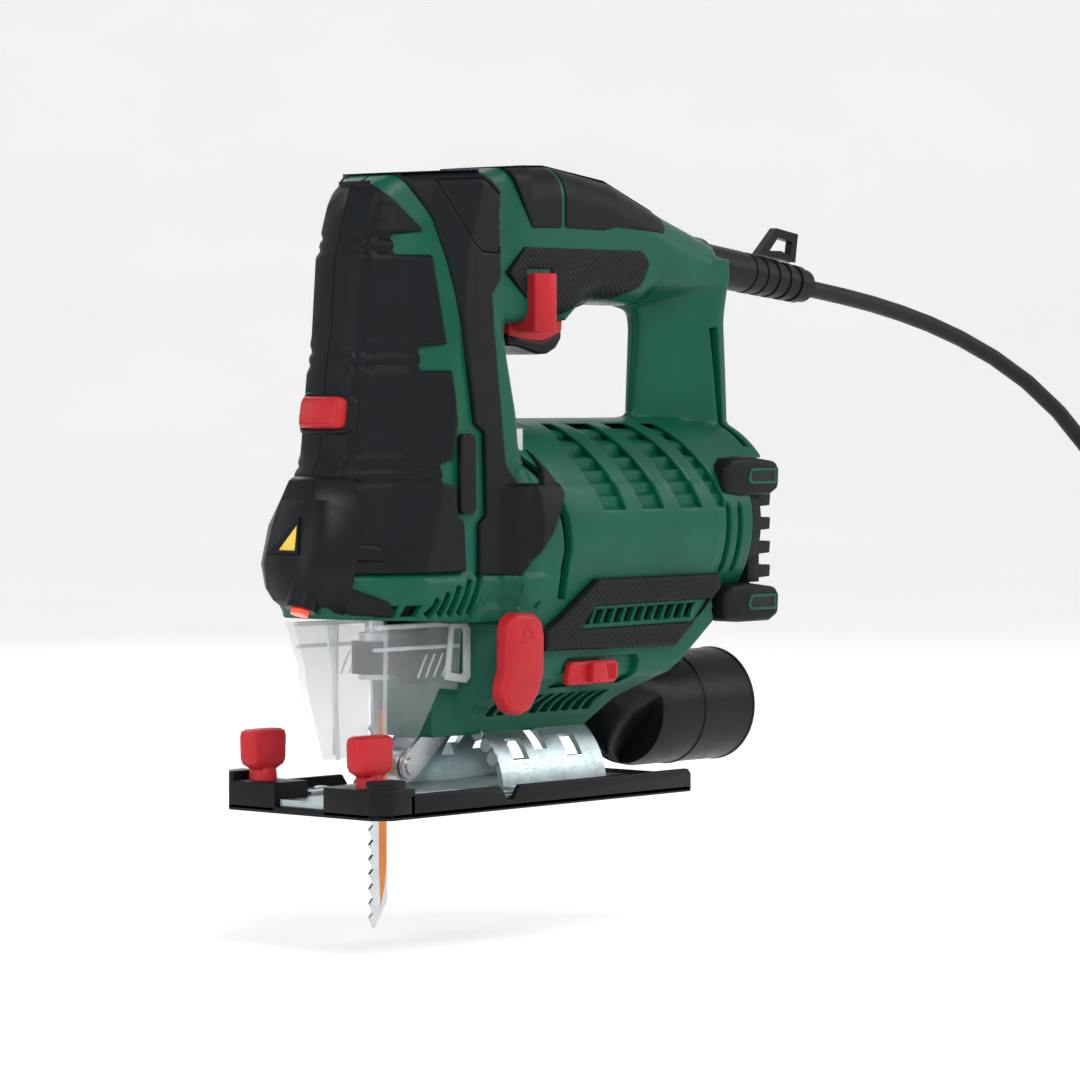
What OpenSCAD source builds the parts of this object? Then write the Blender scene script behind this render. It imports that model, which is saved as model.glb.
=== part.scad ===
// Corded jigsaw with a D-handle, a swivelling base, an orbital guide roller and a dust port.
// Origin: blade centre line on the sole plane. +X to the cord end, +Z up, cut towards -X.

/* [Base] */
// Front end of the shoe
base_front = -38; // [-42:0.5:-36]
// Rear end of the shoe
base_rear = 124.5; // [118:0.5:128]
// Width of the shoe
base_w = 77; // [74:0.5:80]
// Height of the shoe's side rims
rim_h = 8; // [6:0.5:9]
// Radius of the steel arch that the housing swivels on
arch_r = 26; // [24:0.5:27]

/* [Motor] */
// Height of the motor axis over the sole
motor_z = 95; // [94:0.5:96]
// Outer radius of the motor barrel
barrel_r = 38; // [37:0.5:39]
// Height of the large gear's axis
gear_z = 122.5; // [122:0.5:123]
// Crank radius, half the blade's stroke
crank_r = 10; // [8:0.5:10]

/* [Housing] */
// Half width of the gear head
head_hw = 30; // [29:0.5:31]
// Half width of the handle
handle_hw = 19; // [18:0.5:20]
// Wall thickness
wall = 3; // [2.5:0.1:3.5]
// Thickness of the soft grip layer
grip_t = 1.5; // [1:0.1:2]

/* [Blade] */
// Lowest point of the blade
blade_tip = -41; // [-45:1:-36]
// Blade width over the teeth
blade_w = 8.4; // [7:0.1:9]

/* [Dust port] */
// Outer radius of the dust spout
spout_r = 20.5; // [20:0.1:21]
// Inner radius that takes the hose end
hose_r = 17.5; // [17:0.1:18]
// Height of the spout's axis
spout_z = 27; // [26:0.5:28]

/* [Mains lead] */
// Diameter of the mains lead
cord_d = 6.4; // [6:0.1:7]

/* [Hidden] */
$fn = 48;
e = 0.01;
// Height of the axis that the base tilts about
pivot_z = 4;
// Place of the guide knobs along the tool
knob_x = -29.5;

// Side outlines, as x and z
HEAD = [[12, 64], [-36, 64], [-41, 80], [-31, 114], [-24, 152], [-20, 187], [-11, 213],
  [24, 215], [48, 215], [48, 159], [56, 132], [60, 64]];
HANDLE = [[20, 170], [20, 214.8], [48, 219], [77, 221], [108, 216], [134, 206], [157, 198],
  [168, 194], [169, 180], [174, 118], [150, 118], [132, 118], [132.5, 134], [135, 168],
  [131, 173], [96, 173], [91, 171], [86, 166.5], [50, 166], [45, 140], [30, 140]];
// Head plan section across the slope: half width grows behind the front ridge
function head_plan(w) = [[0, -11], [5, -14], [16, -22], [34, -w], [130, -w],
  [130, w], [34, w], [16, 22], [5, 14], [0, 11]];

// Flare of the rear post, from its narrow front edge, as x and y of the room beside it
POST_SIDE = [[100, 3.5], [133, 3.5], [145, 8.5], [163, 15], [190, 15], [190, 60], [100, 60]];
// Slope behind the gear head, as x and y of the room beside the neck
NECK_SIDE = [[38, 29.5], [52, 18], [70, 18], [70, 60], [38, 60]];

module along_y(half) { rotate([90, 0, 0]) linear_extrude(2 * half, center = true) children(); }
module x_cyl(r, x0, x1, z = 0, y = 0) {
  translate([x0, y, z]) rotate([0, 90, 0]) cylinder(r = r, h = x1 - x0);
}
module y_cyl(r, y0, y1, x = 0, z = 0) {
  translate([x, y0, z]) rotate([-90, 0, 0]) cylinder(r = r, h = y1 - y0);
}
module z_cyl(r, z0, z1, x = 0, y = 0) { translate([x, y, z0]) cylinder(r = r, h = z1 - z0); }
module block(lo, hi) { translate(lo) cube([hi[0] - lo[0], hi[1] - lo[1], hi[2] - lo[2]]); }
module left() { intersection() { children(); block([-100, -100, -100], [300, 0, 300]); } }
module right() { intersection() { children(); block([-100, 0, -100], [300, 100, 300]); } }

// Gear head, inset by i all over
module head_solid(i = 0) {
  difference() {
    intersection() {
      along_y(head_hw - i) offset(delta = -i) polygon(HEAD);
      translate([-45, 0, 64]) rotate([0, 12.5, 0]) translate([0, 0, -40])
        linear_extrude(260) offset(delta = -i) polygon(head_plan(head_hw));
    }
    beside(NECK_SIDE, 134 - i, 230, i);
  }
}
module beside(outline, z0, z1, i) {
  for (s = [0, 1]) mirror([0, s, 0]) translate([0, 0, z0]) linear_extrude(z1 - z0)
    offset(delta = i) polygon(outline);
}
module handle_solid(i = 0) {
  difference() {
    along_y(handle_hw - i) offset(delta = -i) polygon(HANDLE);
    beside(POST_SIDE, 100, 170 + i, i);
  }
  if (i == 0) for (s = [0, 1]) mirror([0, s, 0]) block([56, -16, 162], [70, -10, 167]);
}
// Lower body, tapering so that the base can swivel under it
module lower_solid(i = 0) {
  intersection() {
    along_y(35 - i) offset(delta = -i)
      polygon([[12, 24], [89, 24], [126, 51], [141, 62], [141, 100], [12, 100]]);
    rotate([90, 0, 90]) linear_extrude(200) offset(delta = -i)
      polygon([[-16.5, 24], [-19.5, 33], [-22, 35.5], [-35, 43], [-35, 120],
        [35, 120], [35, 43], [22, 35.5], [19.5, 33], [16.5, 24]]);
    linear_extrude(130) offset(delta = -i)
      polygon([[12, -15], [24.5, -15.8], [36, -35], [145, -35], [145, 35], [36, 35], [24.5, 15.8],
        [12, 15]]);
  }
}
module barrel_solid(i = 0) { x_cyl(barrel_r - i, 40 + i, 158 - i, motor_z); }

module laser_bore() {
  translate([-43, -5, 66]) rotate([0, 20, 0]) translate([0, 0, -4]) cylinder(r = 6, h = 34);
}
module switch_pocket() { block([-45, -11.5, 128.2], [-18, 11.5, 142]); }
// Hollows and openings of the two shells
module cavity() {
  inner = wall + grip_t;
  head_solid(inner);
  intersection() { handle_solid(inner); block([26, -60, 100], [155, 60, 240]); }
  lower_solid(wall);
  barrel_solid(wall + 0.5);
  z_cyl(9.5, 50, 90);
  block([57, -9.5, 150], [87, 9.5, 180]);
  block([57.5, -25, 161.5], [68.5, -8, 183.5]);
  block([16, -8, 20], [38, 8, 37]);
  block([57, -40, 40], [93, -29, 49]);
  switch_pocket();
  laser_bore();
  x_cyl(arch_r + 0.4, 33, 92, pivot_z);
  y_cyl(2.1, -14, 14, 29, 29);
  z_cyl(2.9, 20, 42, 60);
  block([145.5, -9, 184], [155, 9, 198]);
  screw_form(0.05);
  y_cyl(4.1, -45, -20, 29, 57);
  on_relief(-11) cylinder(r = 9, h = 40);
  screw_access();
  for (i = [0:9]) translate([50 + 6 * i, 0, 36]) rotate([0, 15, 0])
    cube([3, 100, 9], center = true);
  for (x = [79, 94, 109]) block([x, -60, 105], [x + 9, -10, 122]);
  for (x = [79, 94, 109]) block([x, 10, 105], [x + 9, 60, 122]);
}
// Ribs that hold the bushes, the rear bearing, the stator and the base screw
module ribs() {
  difference() {
    union() {
      intersection() { head_solid(grip_t + 1); block([-36, -30, 79], [15, 30, 87]); }
      intersection() { head_solid(grip_t + 1); block([-22, -30, 157], [15, 30, 165]); }
      difference() { x_cyl(35, 145, 155, motor_z); x_cyl(11, 144, 156, motor_z); }
      difference() { block([53, -17.8, 30.8], [67, 17.8, 40]); z_cyl(2.9, 20, 42, 60); }
      block([24, -15, 25], [34, -8.2, 33]);
      block([24, 8.2, 25], [34, 15, 33]);
      block([22, -33, 51], [36, -26, 63]);
      intersection() {
        for (p = SCREWS) y_cyl(5, -40, 40, p[0], p[1]);
        union() { head_solid(grip_t + 1); handle_solid(grip_t + 1); lower_solid(1); }
      }
    }
    screw_form(0.05);
    screw_access();
    laser_bore();
    z_cyl(9, 76, 170);
    y_cyl(2.1, -14, 14, 29, 29);
    y_cyl(4.1, -45, -20, 29, 57);
    for (y = [-20, 20]) x_cyl(4, 140, 156, 66, y);
  }
}
module shell() {
  difference() {
    union() { head_solid(grip_t); handle_solid(grip_t); lower_solid(); barrel_solid(); }
    cavity();
    seat();
  }
  ribs();
}
// Room that the rear bumper and the side panels take out of the shells
module seat() {
  bumper_form(0);
  dust_form(0.2);
  block([125.8, -12.2, 24], [150.2, 12.2, 57.2]);
}
module left_shell() color("darkgreen") left() shell();
module right_shell() color("darkgreen") right() shell();

module head_grip() {
  difference() {
    intersection() {
      head_solid();
      along_y(60) polygon([[-60, 80], [14, 80], [13, 98], [9, 100], [9, 110], [3, 111],
        [3, 118], [8, 119], [10, 131], [8, 149], [-2, 149], [-2, 157], [7, 158], [3, 188],
        [-8, 188], [-8, 195], [1, 196], [-11, 214], [-60, 240]]);
    }
    head_solid(grip_t);
    switch_pocket();
    laser_bore();
    nose_form(0);
  }
}
module left_head_grip() color("#25282c") left() head_grip();
module right_head_grip() color("#25282c") right() head_grip();
module handle_grip() {
  difference() {
    intersection() {
      handle_solid();
      union() {
        along_y(60) polygon([[50, 240], [50, 200], [132, 200], [136, 204], [136, 240]]);
        along_y(60) polygon([[47, 183], [56, 193], [119, 193], [124, 188], [119, 178], [84, 167], [60, 167]]);
      }
    }
    handle_solid(grip_t);
    block([56, -16, 150], [82, 16, 167.2]);
    block([57, -9.5, 150], [87, 9.5, 180]);
    block([57.5, -25, 161.5], [68.5, -8, 183.5]);
    screw_access();
  }
}
module left_handle_grip() color("#25282c") left() handle_grip();
module right_handle_grip() color("#25282c") right() handle_grip();
module side_panel() {
  difference() {
    along_y(38) polygon([[45, 60], [45, 53], [115, 52], [140, 72], [139, 77], [73, 77], [53, 64]]);
    along_y(35.1) square(600, center = true);
    barrel_solid();
    screw_access();
    for (i = [0:8]) translate([68 + 6.4 * i, 0, 64]) rotate([0, 25, 0])
      cube([3, 100, 6], center = true);
  }
}
module left_side_panel() color("#25282c") left() side_panel();
module right_side_panel() color("#25282c") right() side_panel();

// Rear bumper: a ring band with two feet that the tool can stand on
module bumper_form(i) {
  difference() {
    union() {
      x_cyl(34, 158 + i, 166, motor_z);
      for (z = [111, 66]) block([142 + i, -37, z - 5.5], [173, 37, z + 5.5]);
    }
    if (i == 0) for (z = [111, 66]) block([130, -30, z - 6], [157.9, 30, z + 6]);
    if (i == 0) x_cyl(37, 130, 157.9, motor_z);
  }
}
module rear_bumper() color("#25282c") difference() {
  bumper_form(0.05);
  handle_solid(-0.05);
  barrel_solid(-0.02);
  for (z = [78, 87, 96]) block([160, -60, z], [170, -28, z + 5]);
  for (z = [78, 87, 96]) block([160, 28, z], [170, 60, z + 5]);
  for (z = [111, 66]) block([150, -40, z - 2], [169, -34, z + 2]);
  for (z = [111, 66]) block([150, 34, z - 2], [169, 40, z + 2]);
}
module nose_form(i) {
  intersection() {
    along_y(12.5 - i) offset(delta = -i)
      polygon([[-36, 67], [-46, 74], [-46.5, 82], [-37.5, 112], [-31, 113], [-36, 100], [-38, 80]]);
    translate([-60, 0, 60]) linear_extrude(60)
      polygon([[10, -14], [13, -8], [10, 0], [13, 8], [10, 14], [60, 14], [60, -14]]);
  }
}
module nose_cover() color("#25282c") difference() {
  along_y(12.5) polygon([[-36, 67], [-44, 72], [-46.5, 82], [-37.5, 112], [-31, 113], [-36, 100], [-38, 80]]);
  head_solid(grip_t - 0.05);
  laser_bore();
}
module label_plate() color("#25282c") block([11, -30.9, 101], [18, -30 + grip_t, 127]);

// Screws that join the shells, sunk in posts that open on the right side
SCREWS = [[26, 204], [128, 188], [108, 179], [46, 46], [108, 54.5], [26, 176]];
module screw_access() { for (p = SCREWS) y_cyl(3.4, 13.9, 50, p[0], p[1]); }
module screw_form(clear = 0) {
  for (p = SCREWS) {
    y_cyl(3 + clear, 10, 14, p[0], p[1]);
    y_cyl(1.5 + clear, -8, 10 + e, p[0], p[1]);
  }
}
module housing_screws() color("silver") difference() {
  screw_form();
  for (p = SCREWS) translate([p[0], 14, p[1]]) rotate([0, 30, 0]) {
    cube([3.6, 3, 0.9], center = true);
    cube([0.9, 3, 3.6], center = true);
  }
}

// Controls
module trigger() color("firebrick") difference() {
  along_y(9) polygon([[58, 178], [58, 161], [66, 160], [75, 159], [82, 161.5], [86, 163], [86, 178]]);
  block([62, -5, 172], [82, 5, 179]);
}
module trigger_pad() color("#25282c")
  along_y(8.8) polygon([[58, 161], [66, 160], [75, 159], [82, 161.5], [86, 163], [84, 158.5],
    [79, 155.5], [74, 155], [67, 157], [59, 157.5]]);
module lock_button() color("firebrick") union() {
  rotate([90, 0, 0]) translate([0, 0, 12]) linear_extrude(9)
    polygon([[58, 162], [68, 162], [68, 183], [58, 183]]);
  translate([58, 0, 0]) rotate([90, 0, 90]) linear_extrude(10)
    polygon([[-21, 162], [-23, 164], [-23, 181], [-21, 183]]);
}
lever_pivot = [29, 57];
module selector_lever() color("firebrick") {
  y_cyl(10.2, -42, -35.5, lever_pivot[0], lever_pivot[1]);
  y_cyl(4, -35.5, -24, lever_pivot[0], lever_pivot[1]);
  translate([0, -35.5, 0]) rotate([90, 0, 0]) linear_extrude(5.5) hull() {
    translate([30, 56]) circle(r = 8);
    translate([28, 40]) circle(r = 7.5);
  }
}
module blower_slider() color("firebrick") {
  block([58, -36, 41], [85, -30, 48]);
  for (x = [68, 80]) block([x, -37.5, 41.5], [x + 4, -36, 47.5]);
}
module light_switch() color("firebrick")
  translate([-29.6, 0, 130]) rotate([0, 10.4, 0]) intersection() {
    block([0, -11, 0], [7, 11, 11]);
    translate([14.5, 0, -1]) cylinder(r = 15, h = 14);
  }
module switch_module() color("dimgray") difference() {
  block([60, -12, 184], [100, 12, 206]);
  block([62, -5, 183], [84, 5, 184.5]);
}
module laser_tube(r, z0, z1) {
  translate([-43, -5, 66]) rotate([0, 20, 0]) translate([0, 0, z0]) cylinder(r = r, h = z1 - z0);
}
module laser_module() color("silver") laser_tube(5.5, 3.2, 26);
module laser_lens() color("red") laser_tube(3, 1.6, 3.2);

// Motor
shaft_r = 4;
module motor_stator() color("dimgray") difference() {
  x_cyl(33.5, 70, 112, motor_z);
  x_cyl(22, 69, 113, motor_z);
  for (y = [-32, 32]) x_cyl(4, 69, 113, motor_z, y);
}
module motor_windings() color("chocolate") difference() {
  union() {
    x_cyl(31, 64, 70, motor_z);
    x_cyl(31, 112, 118, motor_z);
  }
  x_cyl(22.5, 63, 119, motor_z);
}
module armature() color("silver") {
  difference() {
    x_cyl(21.4, 72, 110, motor_z);
    for (i = [0:11]) translate([0, 0, motor_z]) rotate([30 * i, 0, 0])
      block([71, -1.2, 17], [111, 1.2, 23]);
    x_cyl(shaft_r, 71, 111, motor_z);
  }
  x_cyl(shaft_r, 38, 154, motor_z);
}
// Toothed wheel along X, its first tooth turned by turn from +Y
module toothed(teeth, pitch_r, width_deg, x0, x1, turn) {
  root = pitch_r - 1.2;
  tip = pitch_r + 0.85;
  step = 360 / teeth;
  points = [for (k = [0:teeth - 1]) let (a = k * step + turn)
    for (q = [[-width_deg, root], [-width_deg * 0.35, tip], [width_deg * 0.35, tip], [width_deg, root]])
      [q[1] * cos(a + q[0]), q[1] * sin(a + q[0])]];
  translate([x0, 0, 0]) rotate([90, 0, 90]) linear_extrude(x1 - x0) polygon(points);
}
pinion_teeth = 9;
gear_teeth = 46;
module motor_pinion() color("silver") {
  difference() {
    translate([0, 0, motor_z]) toothed(pinion_teeth, 4.5, 11, 26, 36, 90);
  }
  x_cyl(shaft_r, 36, 38, motor_z);
}
module commutator() color("peru") difference() {
  x_cyl(13, 120, 134, motor_z);
  x_cyl(shaft_r, 119, 135, motor_z);
  for (i = [0:11]) translate([0, 0, motor_z]) rotate([30 * i, 0, 0])
    block([119, -0.4, 12], [135, 0.4, 14]);
}
module cooling_fan() color("dimgray") difference() {
  union() {
    x_cyl(31, 57, 58.5, motor_z);
    x_cyl(8, 55, 62, motor_z);
    for (i = [0:8]) translate([0, 0, motor_z]) rotate([40 * i, 0, 0])
      block([55, -0.7, 7], [62, 0.7, 30]);
  }
  x_cyl(shaft_r, 50, 63, motor_z);
}
module bearing(x0, x1, outer) {
  difference() {
    x_cyl(outer, x0, x1, motor_z);
    x_cyl(shaft_r + 0.03, x0 - 1, x1 + 1, motor_z);
  }
}
module front_bearing() color("silver") bearing(41, 48, 11);
module rear_bearing() color("silver") bearing(147, 154, 11);
module brush_holders() color("goldenrod") for (s = [-1, 1])
  difference() {
    block([123, s * 24 - 8, motor_z - 4.5], [131, s * 24 + 8, motor_z + 4.5]);
    block([124.5, s * 24 - 9, motor_z - 3], [129.5, s * 24 + 9, motor_z + 3]);
  }
module carbon_brushes() color("black") for (s = [-1, 1])
  block([124.7, s * 20 - 6.7, motor_z - 2.8], [129.3, s * 20 + 6.7, motor_z + 2.8]);

// Gear train: the crank pin drives the yoke of the plunger
module drive_gear() color("silver") difference() {
  union() {
    translate([0, 0, gear_z]) toothed(gear_teeth, 23, 2.4, 26, 34, -90 + 180 / gear_teeth);
    x_cyl(9, 24, 36, gear_z);
    x_cyl(3, 14.5, 27, gear_z, crank_r);
  }
  x_cyl(4.05, 20, 40, gear_z);
  for (a = [60, 120, 180, 240, 300]) translate([0, 0, gear_z]) rotate([a, 0, 0])
    x_cyl(4, 25, 35, 0, 15.5);
}
module gear_axle() color("silver") x_cyl(4, 24.5, 47, gear_z);
module gearbox_plate() color("lightgray") difference() {
  intersection() {
    block([41, -25, 72], [47, 25, 133]);
    head_solid(wall + grip_t + 0.3);
  }
  x_cyl(11, 40, 48, motor_z);
  x_cyl(4, 40, 48, gear_z);
}
module bush(z0, z1) {
  difference() {
    z_cyl(9, z0, z1);
    z_cyl(4.04, z0 - 1, z1 + 1);
  }
}
module plunger_bushes() color("darkgoldenrod") {
  bush(78, 88);
  bush(156, 166);
}
module plunger_rod() color("silver") {
  z_cyl(4, 60, 172);
  difference() {
    block([2.5, -18, gear_z - 7.5], [13.5, 18, gear_z + 7.5]);
    block([6, -14, gear_z - 3.4], [14, 14, gear_z + 3.4]);
    z_cyl(4 - e, 100, 140);
  }
}
module blade_clamp() color("silver") difference() {
  z_cyl(6, 44, 60);
  block([-2.6, -0.65, 43], [2.6, 0.65, 56]);
}
module clamp_collar() color("#3a3d40") difference() {
  union() {
    z_cyl(8.4, 46, 57);
    intersection() {
      block([5, -2.5, 46], [12, 2.5, 50]);
      z_cyl(11, 46, 50);
    }
  }
  z_cyl(6.05, 45, 58);
}
// Blade with its teeth on the front edge
tooth_pitch = 5;
module blade() color("gainsboro") union() {
  back_x = blade_w / 2 + 0.5;
  front_x = back_x - blade_w;
  teeth = [for (k = [0:13]) let (z = blade_tip + 2 + k * tooth_pitch)
    for (q = [[1.5, 0], [0, 1.6], [1.7, 3.2]]) [front_x + q[0], z + q[1]]];
  along_y(0.6) polygon(concat(teeth, [[front_x + 1.5, 34], [front_x + 1.5, 38], [-2.5, 42], [-2.5, 55.9],
    [2.5, 55.9], [2.5, 42], [back_x, 38], [back_x, blade_tip + 9], [front_x + 2, blade_tip]]));
}

// Orbital guide: a fork that swings on a pin in the housing and carries the roller
roller_c = [11, 14];
fork_c = [29, 29];
module fork_arm(y0) {
  translate([0, y0 + 1.8, 0]) rotate([90, 0, 0]) linear_extrude(1.8) difference() {
    hull() {
      translate(roller_c) circle(r = 4.5);
      translate(fork_c) circle(r = 4.5);
    }
    translate(fork_c) circle(r = 2.06);
    translate(roller_c) circle(r = 2);
  }
}
module orbital_fork() color("silver") {
  fork_arm(-6.2);
  fork_arm(4.4);
  block([17, -4.5, 20], [22, 4.5, 23]);
}
module fork_pin() color("gray") y_cyl(2, -13, 13, fork_c[0], fork_c[1]);
module guide_roller() color("gray") difference() {
  y_cyl(6, -4, 4, roller_c[0], roller_c[1]);
  y_cyl(2.05, -5, 5, roller_c[0], roller_c[1]);
}
module roller_pin() color("silver") {
  y_cyl(2, -6.2, 6.2, roller_c[0], roller_c[1]);
  y_cyl(3, -7, -6.2, roller_c[0], roller_c[1]);
}
// Clear chip guard, open at the back, the top and the bottom
module guard_form(i) {
  intersection() {
    along_y(21 - i) polygon([[-25 + i, 66], [-19.6 + i, 49], [-19 + i, 17 - i], [5, 17 - i],
      [13, 41], [23, 40], [24, 43], [24, 59], [20, 63.8]]);
    rotate([90, 0, 90]) translate([0, 0, -40]) linear_extrude(80)
      polygon([[-9.5 + i, 14], [-18 + i, 43], [-19.5 + i, 66], [19.5 - i, 66], [18 - i, 43], [9.5 - i, 14]]);
  }
}
module blade_guard() color([0.8, 0.85, 0.9, 0.4]) difference() {
  guard_form(0);
  guard_form(1.8);
  block([-60, -60, 63.8], [60, 60, 80]);
  block([22, -30, 0], [40, 30, 80]);
}

// Base
module arch(r0, r1, x0, x1) {
  intersection() {
    difference() {
      x_cyl(r1, x0, x1, pivot_z);
      x_cyl(r0, x0 - 1, x1 + 1, pivot_z);
    }
    block([0, -60, 4.7], [200, 60, 60]);
  }
}
module base_cradle() color("silver") difference() {
  union() {
    arch(arch_r - 2, arch_r, 36, 90);
    for (s = [-1, 1]) block([36, s * 29 - 5, 4.7], [90, s * 29 + 5, 6.5]);
  }
  intersection() {
    block([56.6, -22, 4], [63.4, 22, 60]);
    arch(arch_r - 4, arch_r + 4, 50, 70);
  }
  for (s = [-1, 1]) for (x = [44, 72]) block([x, s * 20.5 - 3.5, 15], [x + 8, s * 20.5 + 3.5, 22]);
  arch(0.1, arch_r - 2, 35, 91);
}
module sole_plate() color("silver") difference() {
  union() {
    block([-21, -36, 2.5], [base_rear - 2.5, 36, 4.7]);
    block([-36, -10.5, 2.5], [-20, 10.5, 4.7]);
  }
  block([-16, -8, 0], [3, 8, 6]);
  block([3 - e, -11.6, 0], [22, 11.6, 6]);
  for (x = [100, 112]) block([x, -20, 0], [x + 5, 20, 6]);
}
module corner_block() {
  block([base_front, 11, 0], [-21, base_w / 2, 10]);
  block([base_front, 31, 9], [-26, base_w / 2, 13]);
}
module sliding_shoe() color("#25282c") difference() {
  union() {
    block([base_front, -base_w / 2, 0], [base_rear, base_w / 2, 2.5]);
    for (s = [0, 1]) mirror([0, s, 0]) {
      corner_block();
      block([-22, 36.1, 0], [base_rear, base_w / 2, rim_h]);
    }
    block([base_rear - 2.4, -base_w / 2, 0], [base_rear, base_w / 2, rim_h - 2]);
  }
  block([-16, -8, -1], [3, 8, 6]);
  block([3 - e, -11.6, -1], [22, 11.6, 6]);
  for (s = [-1, 1]) z_cyl(2.6, 3, 20, knob_x, s * 25);
  linear_extrude(30) for (s = [0, 1]) mirror([0, s, 0])
    polygon([[base_front - 1, base_w / 2 + 1], [base_front - 1, base_w / 2 - 5],
      [base_front + 5, base_w / 2 + 1]]);
}
module base_screw() color("silver") difference() {
  union() {
    z_cyl(2.85, 23, 40, 60);
    z_cyl(5, 20, 24.5, 60);
    z_cyl(6.6, 24.5, 26.8, 60);
  }
  translate([60, 0, 19]) cylinder(r = 2.4, h = 3.5, $fn = 6);
}
// Winged knob on its stud
module guide_knob() {
  z_cyl(2.5, 4, 16, knob_x, 0);
  z_cyl(4.6, 10.2, 15.5, knob_x, 0);
  difference() {
    translate([knob_x, 0, 15]) linear_extrude(12.4) offset(r = 2) square([12, 4], center = true);
    for (a = [0, 180]) translate([knob_x, 0, 0]) rotate([0, 0, a]) block([-9, 3.2, 17], [9, 5, 26]);
  }
}
module left_guide_knob() color("firebrick") translate([0, -25, 0]) guide_knob();
module right_guide_knob() color("firebrick") translate([0, 25, 0]) guide_knob();

// Dust port
module dust_form(i) {
  x_cyl(spout_r + i, 128, 152, spout_z);
  intersection() {
    x_cyl(spout_r + i, 96, 130, spout_z);
    along_y(30) polygon([[90, 70], [94, 31], [126, 9], [132, 4], [160, 4], [160, 70]]);
    rotate([90, 0, 90]) linear_extrude(200)
      polygon([[-12, 24], [-24, 38], [-24, 60], [24, 60], [24, 38], [12, 24]]);
  }
}
module dust_elbow() color("#25282c") difference() {
  union() {
    dust_form(0);
    block([126, -12, 44], [150, 12, 57]);
  }
  x_cyl(hose_r, 124, 160, spout_z);
  x_cyl(8, 100, 130, spout_z + 8);
}
module dust_sleeve() color("#25282c") difference() {
  x_cyl(spout_r, 152, 180, spout_z);
  x_cyl(hose_r, 150, 182, spout_z);
}

// Mains lead
relief_root = [166, 0, 190];
module on_relief(z0) { translate(relief_root) rotate([0, 97, 0]) translate([0, 0, z0]) children(); }
module strain_relief() color("#25282c") difference() {
  on_relief(0) {
    cylinder(r = 8.9, h = 4);
    cylinder(r = 7.6, h = 28);
    translate([0, 0, 28]) cylinder(r1 = 7.4, r2 = 6.2, h = 40);
    for (i = [0:4]) translate([0, 0, 32 + 7 * i]) cylinder(r = 7.6 - 0.15 * i, h = 3.6);
  }
  on_relief(-1) cylinder(r = cord_d / 2, h = 80);
}
module key_clip() color("#25282c") difference() {
  along_y(1.6) polygon([[205, 193], [216, 203], [229, 201], [227, 188], [221, 187], [221, 191],
    [212, 192], [211, 189], [206, 190]]);
  along_y(3) polygon([[212, 194.5], [217, 199.5], [225.5, 198], [224.5, 192.5], [219, 194.5]]);
  on_relief(-1) cylinder(r = 7.9, h = 80);
}
module cord_clamp() color("silver") difference() {
  block([146, -7, 186.5], [153, 7, 197.6]);
  translate([140, 0, 193.2]) rotate([0, 97, 0]) cylinder(r = cord_d / 2 + 0.05, h = 30);
}
ROUTE = [[232.4, 0, 181.4], [242, 0, 180.2], [258, 0, 178.2], [276, 0, 175.6], [294, 0, 172.4],
  [312, -1, 168.2], [330, -3, 162.6], [348, -6, 155.2], [365, -10, 145.6], [381, -14, 133.6],
  [395, -18, 119.4], [407, -22, 103], [417, -25, 85], [426, -27, 66], [434, -28, 46], [442, -28, 26],
  [450, -28, 6.6], [459, -28, -12], [470, -28, -28], [484, -28, -39.6], [500, -28, -45.6],
  [513, -28, -47], [526, -28, -47]];
coil_c = [536, 16.8, -50.2];
coil_r = 35.2;
function unit(v) = v / norm(v);
function heading(i) = unit(ROUTE[min(i + 1, len(ROUTE) - 1)] - ROUTE[max(i - 1, 0)]);
function ring(i, sides) = let (t = heading(i), side = [0, 1, 0], up = cross(t, side))
  [for (k = [0:sides - 1]) ROUTE[i] + cord_d / 2 * (cos(360 * k / sides) * side + sin(360 * k / sides) * up)];
module cord_tube() color("#1b1d20") {
  sides = 10;
  n = len(ROUTE);
  rings = [for (i = [0:n - 1]) each ring(i, sides)];
  walls = [for (i = [0:n - 2]) for (k = [0:sides - 1]) let (j = (k + 1) % sides)
    [i * sides + k, (i + 1) * sides + k, (i + 1) * sides + j, i * sides + j]];
  ends = [[for (k = [0:sides - 1]) k], [for (k = [sides - 1:-1:0]) (n - 1) * sides + k]];
  polyhedron(rings, concat(walls, ends));
}
coil_in = coil_r - 2 * cord_d;
coil_out = coil_r + 2 * cord_d;
coil_h = 2 * cord_d;
module cord_coil() color("#1b1d20") translate(coil_c) rotate_extrude($fn = 96)
  translate([coil_in, 0]) square([coil_out - coil_in, coil_h]);
module coil_tie() color("#25282c") translate(coil_c) difference() {
  block([coil_in - 1.2, -2.5, 0.3], [coil_out + 1.2, 2.5, coil_h + 1.2]);
  difference() {
    translate([0, 0, -1]) cylinder(r = coil_out, h = coil_h + 1, $fn = 96);
    translate([0, 0, -2]) cylinder(r = coil_in, h = coil_h + 3, $fn = 96);
  }
}
plug_at = [556, coil_c[1] - coil_out + cord_d / 2, -40.2];
module plug_body() color("#1b1d20") translate(plug_at) mirror([1, 0, 0]) {
  difference() {
    translate([-24, 0, 0]) rotate([0, 90, 0]) cylinder(r1 = 6.5, r2 = 4.6, h = 24);
    x_cyl(cord_d / 2, -24, 1);
  }
  intersection() {
    translate([0, 0, -10]) linear_extrude(20) offset(r = 5)
      polygon([[-55, -12], [-44, -13], [-26, -4], [-26, 4], [-44, 13], [-55, 12]]);
    block([-60, -20, -10], [-23.9, 20, 10]);
  }
}
module plug_pins() color("silver") translate(plug_at) mirror([1, 0, 0])
  for (s = [-1, 1]) x_cyl(2.4, -79, -60, 0, s * 9.5);

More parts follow.
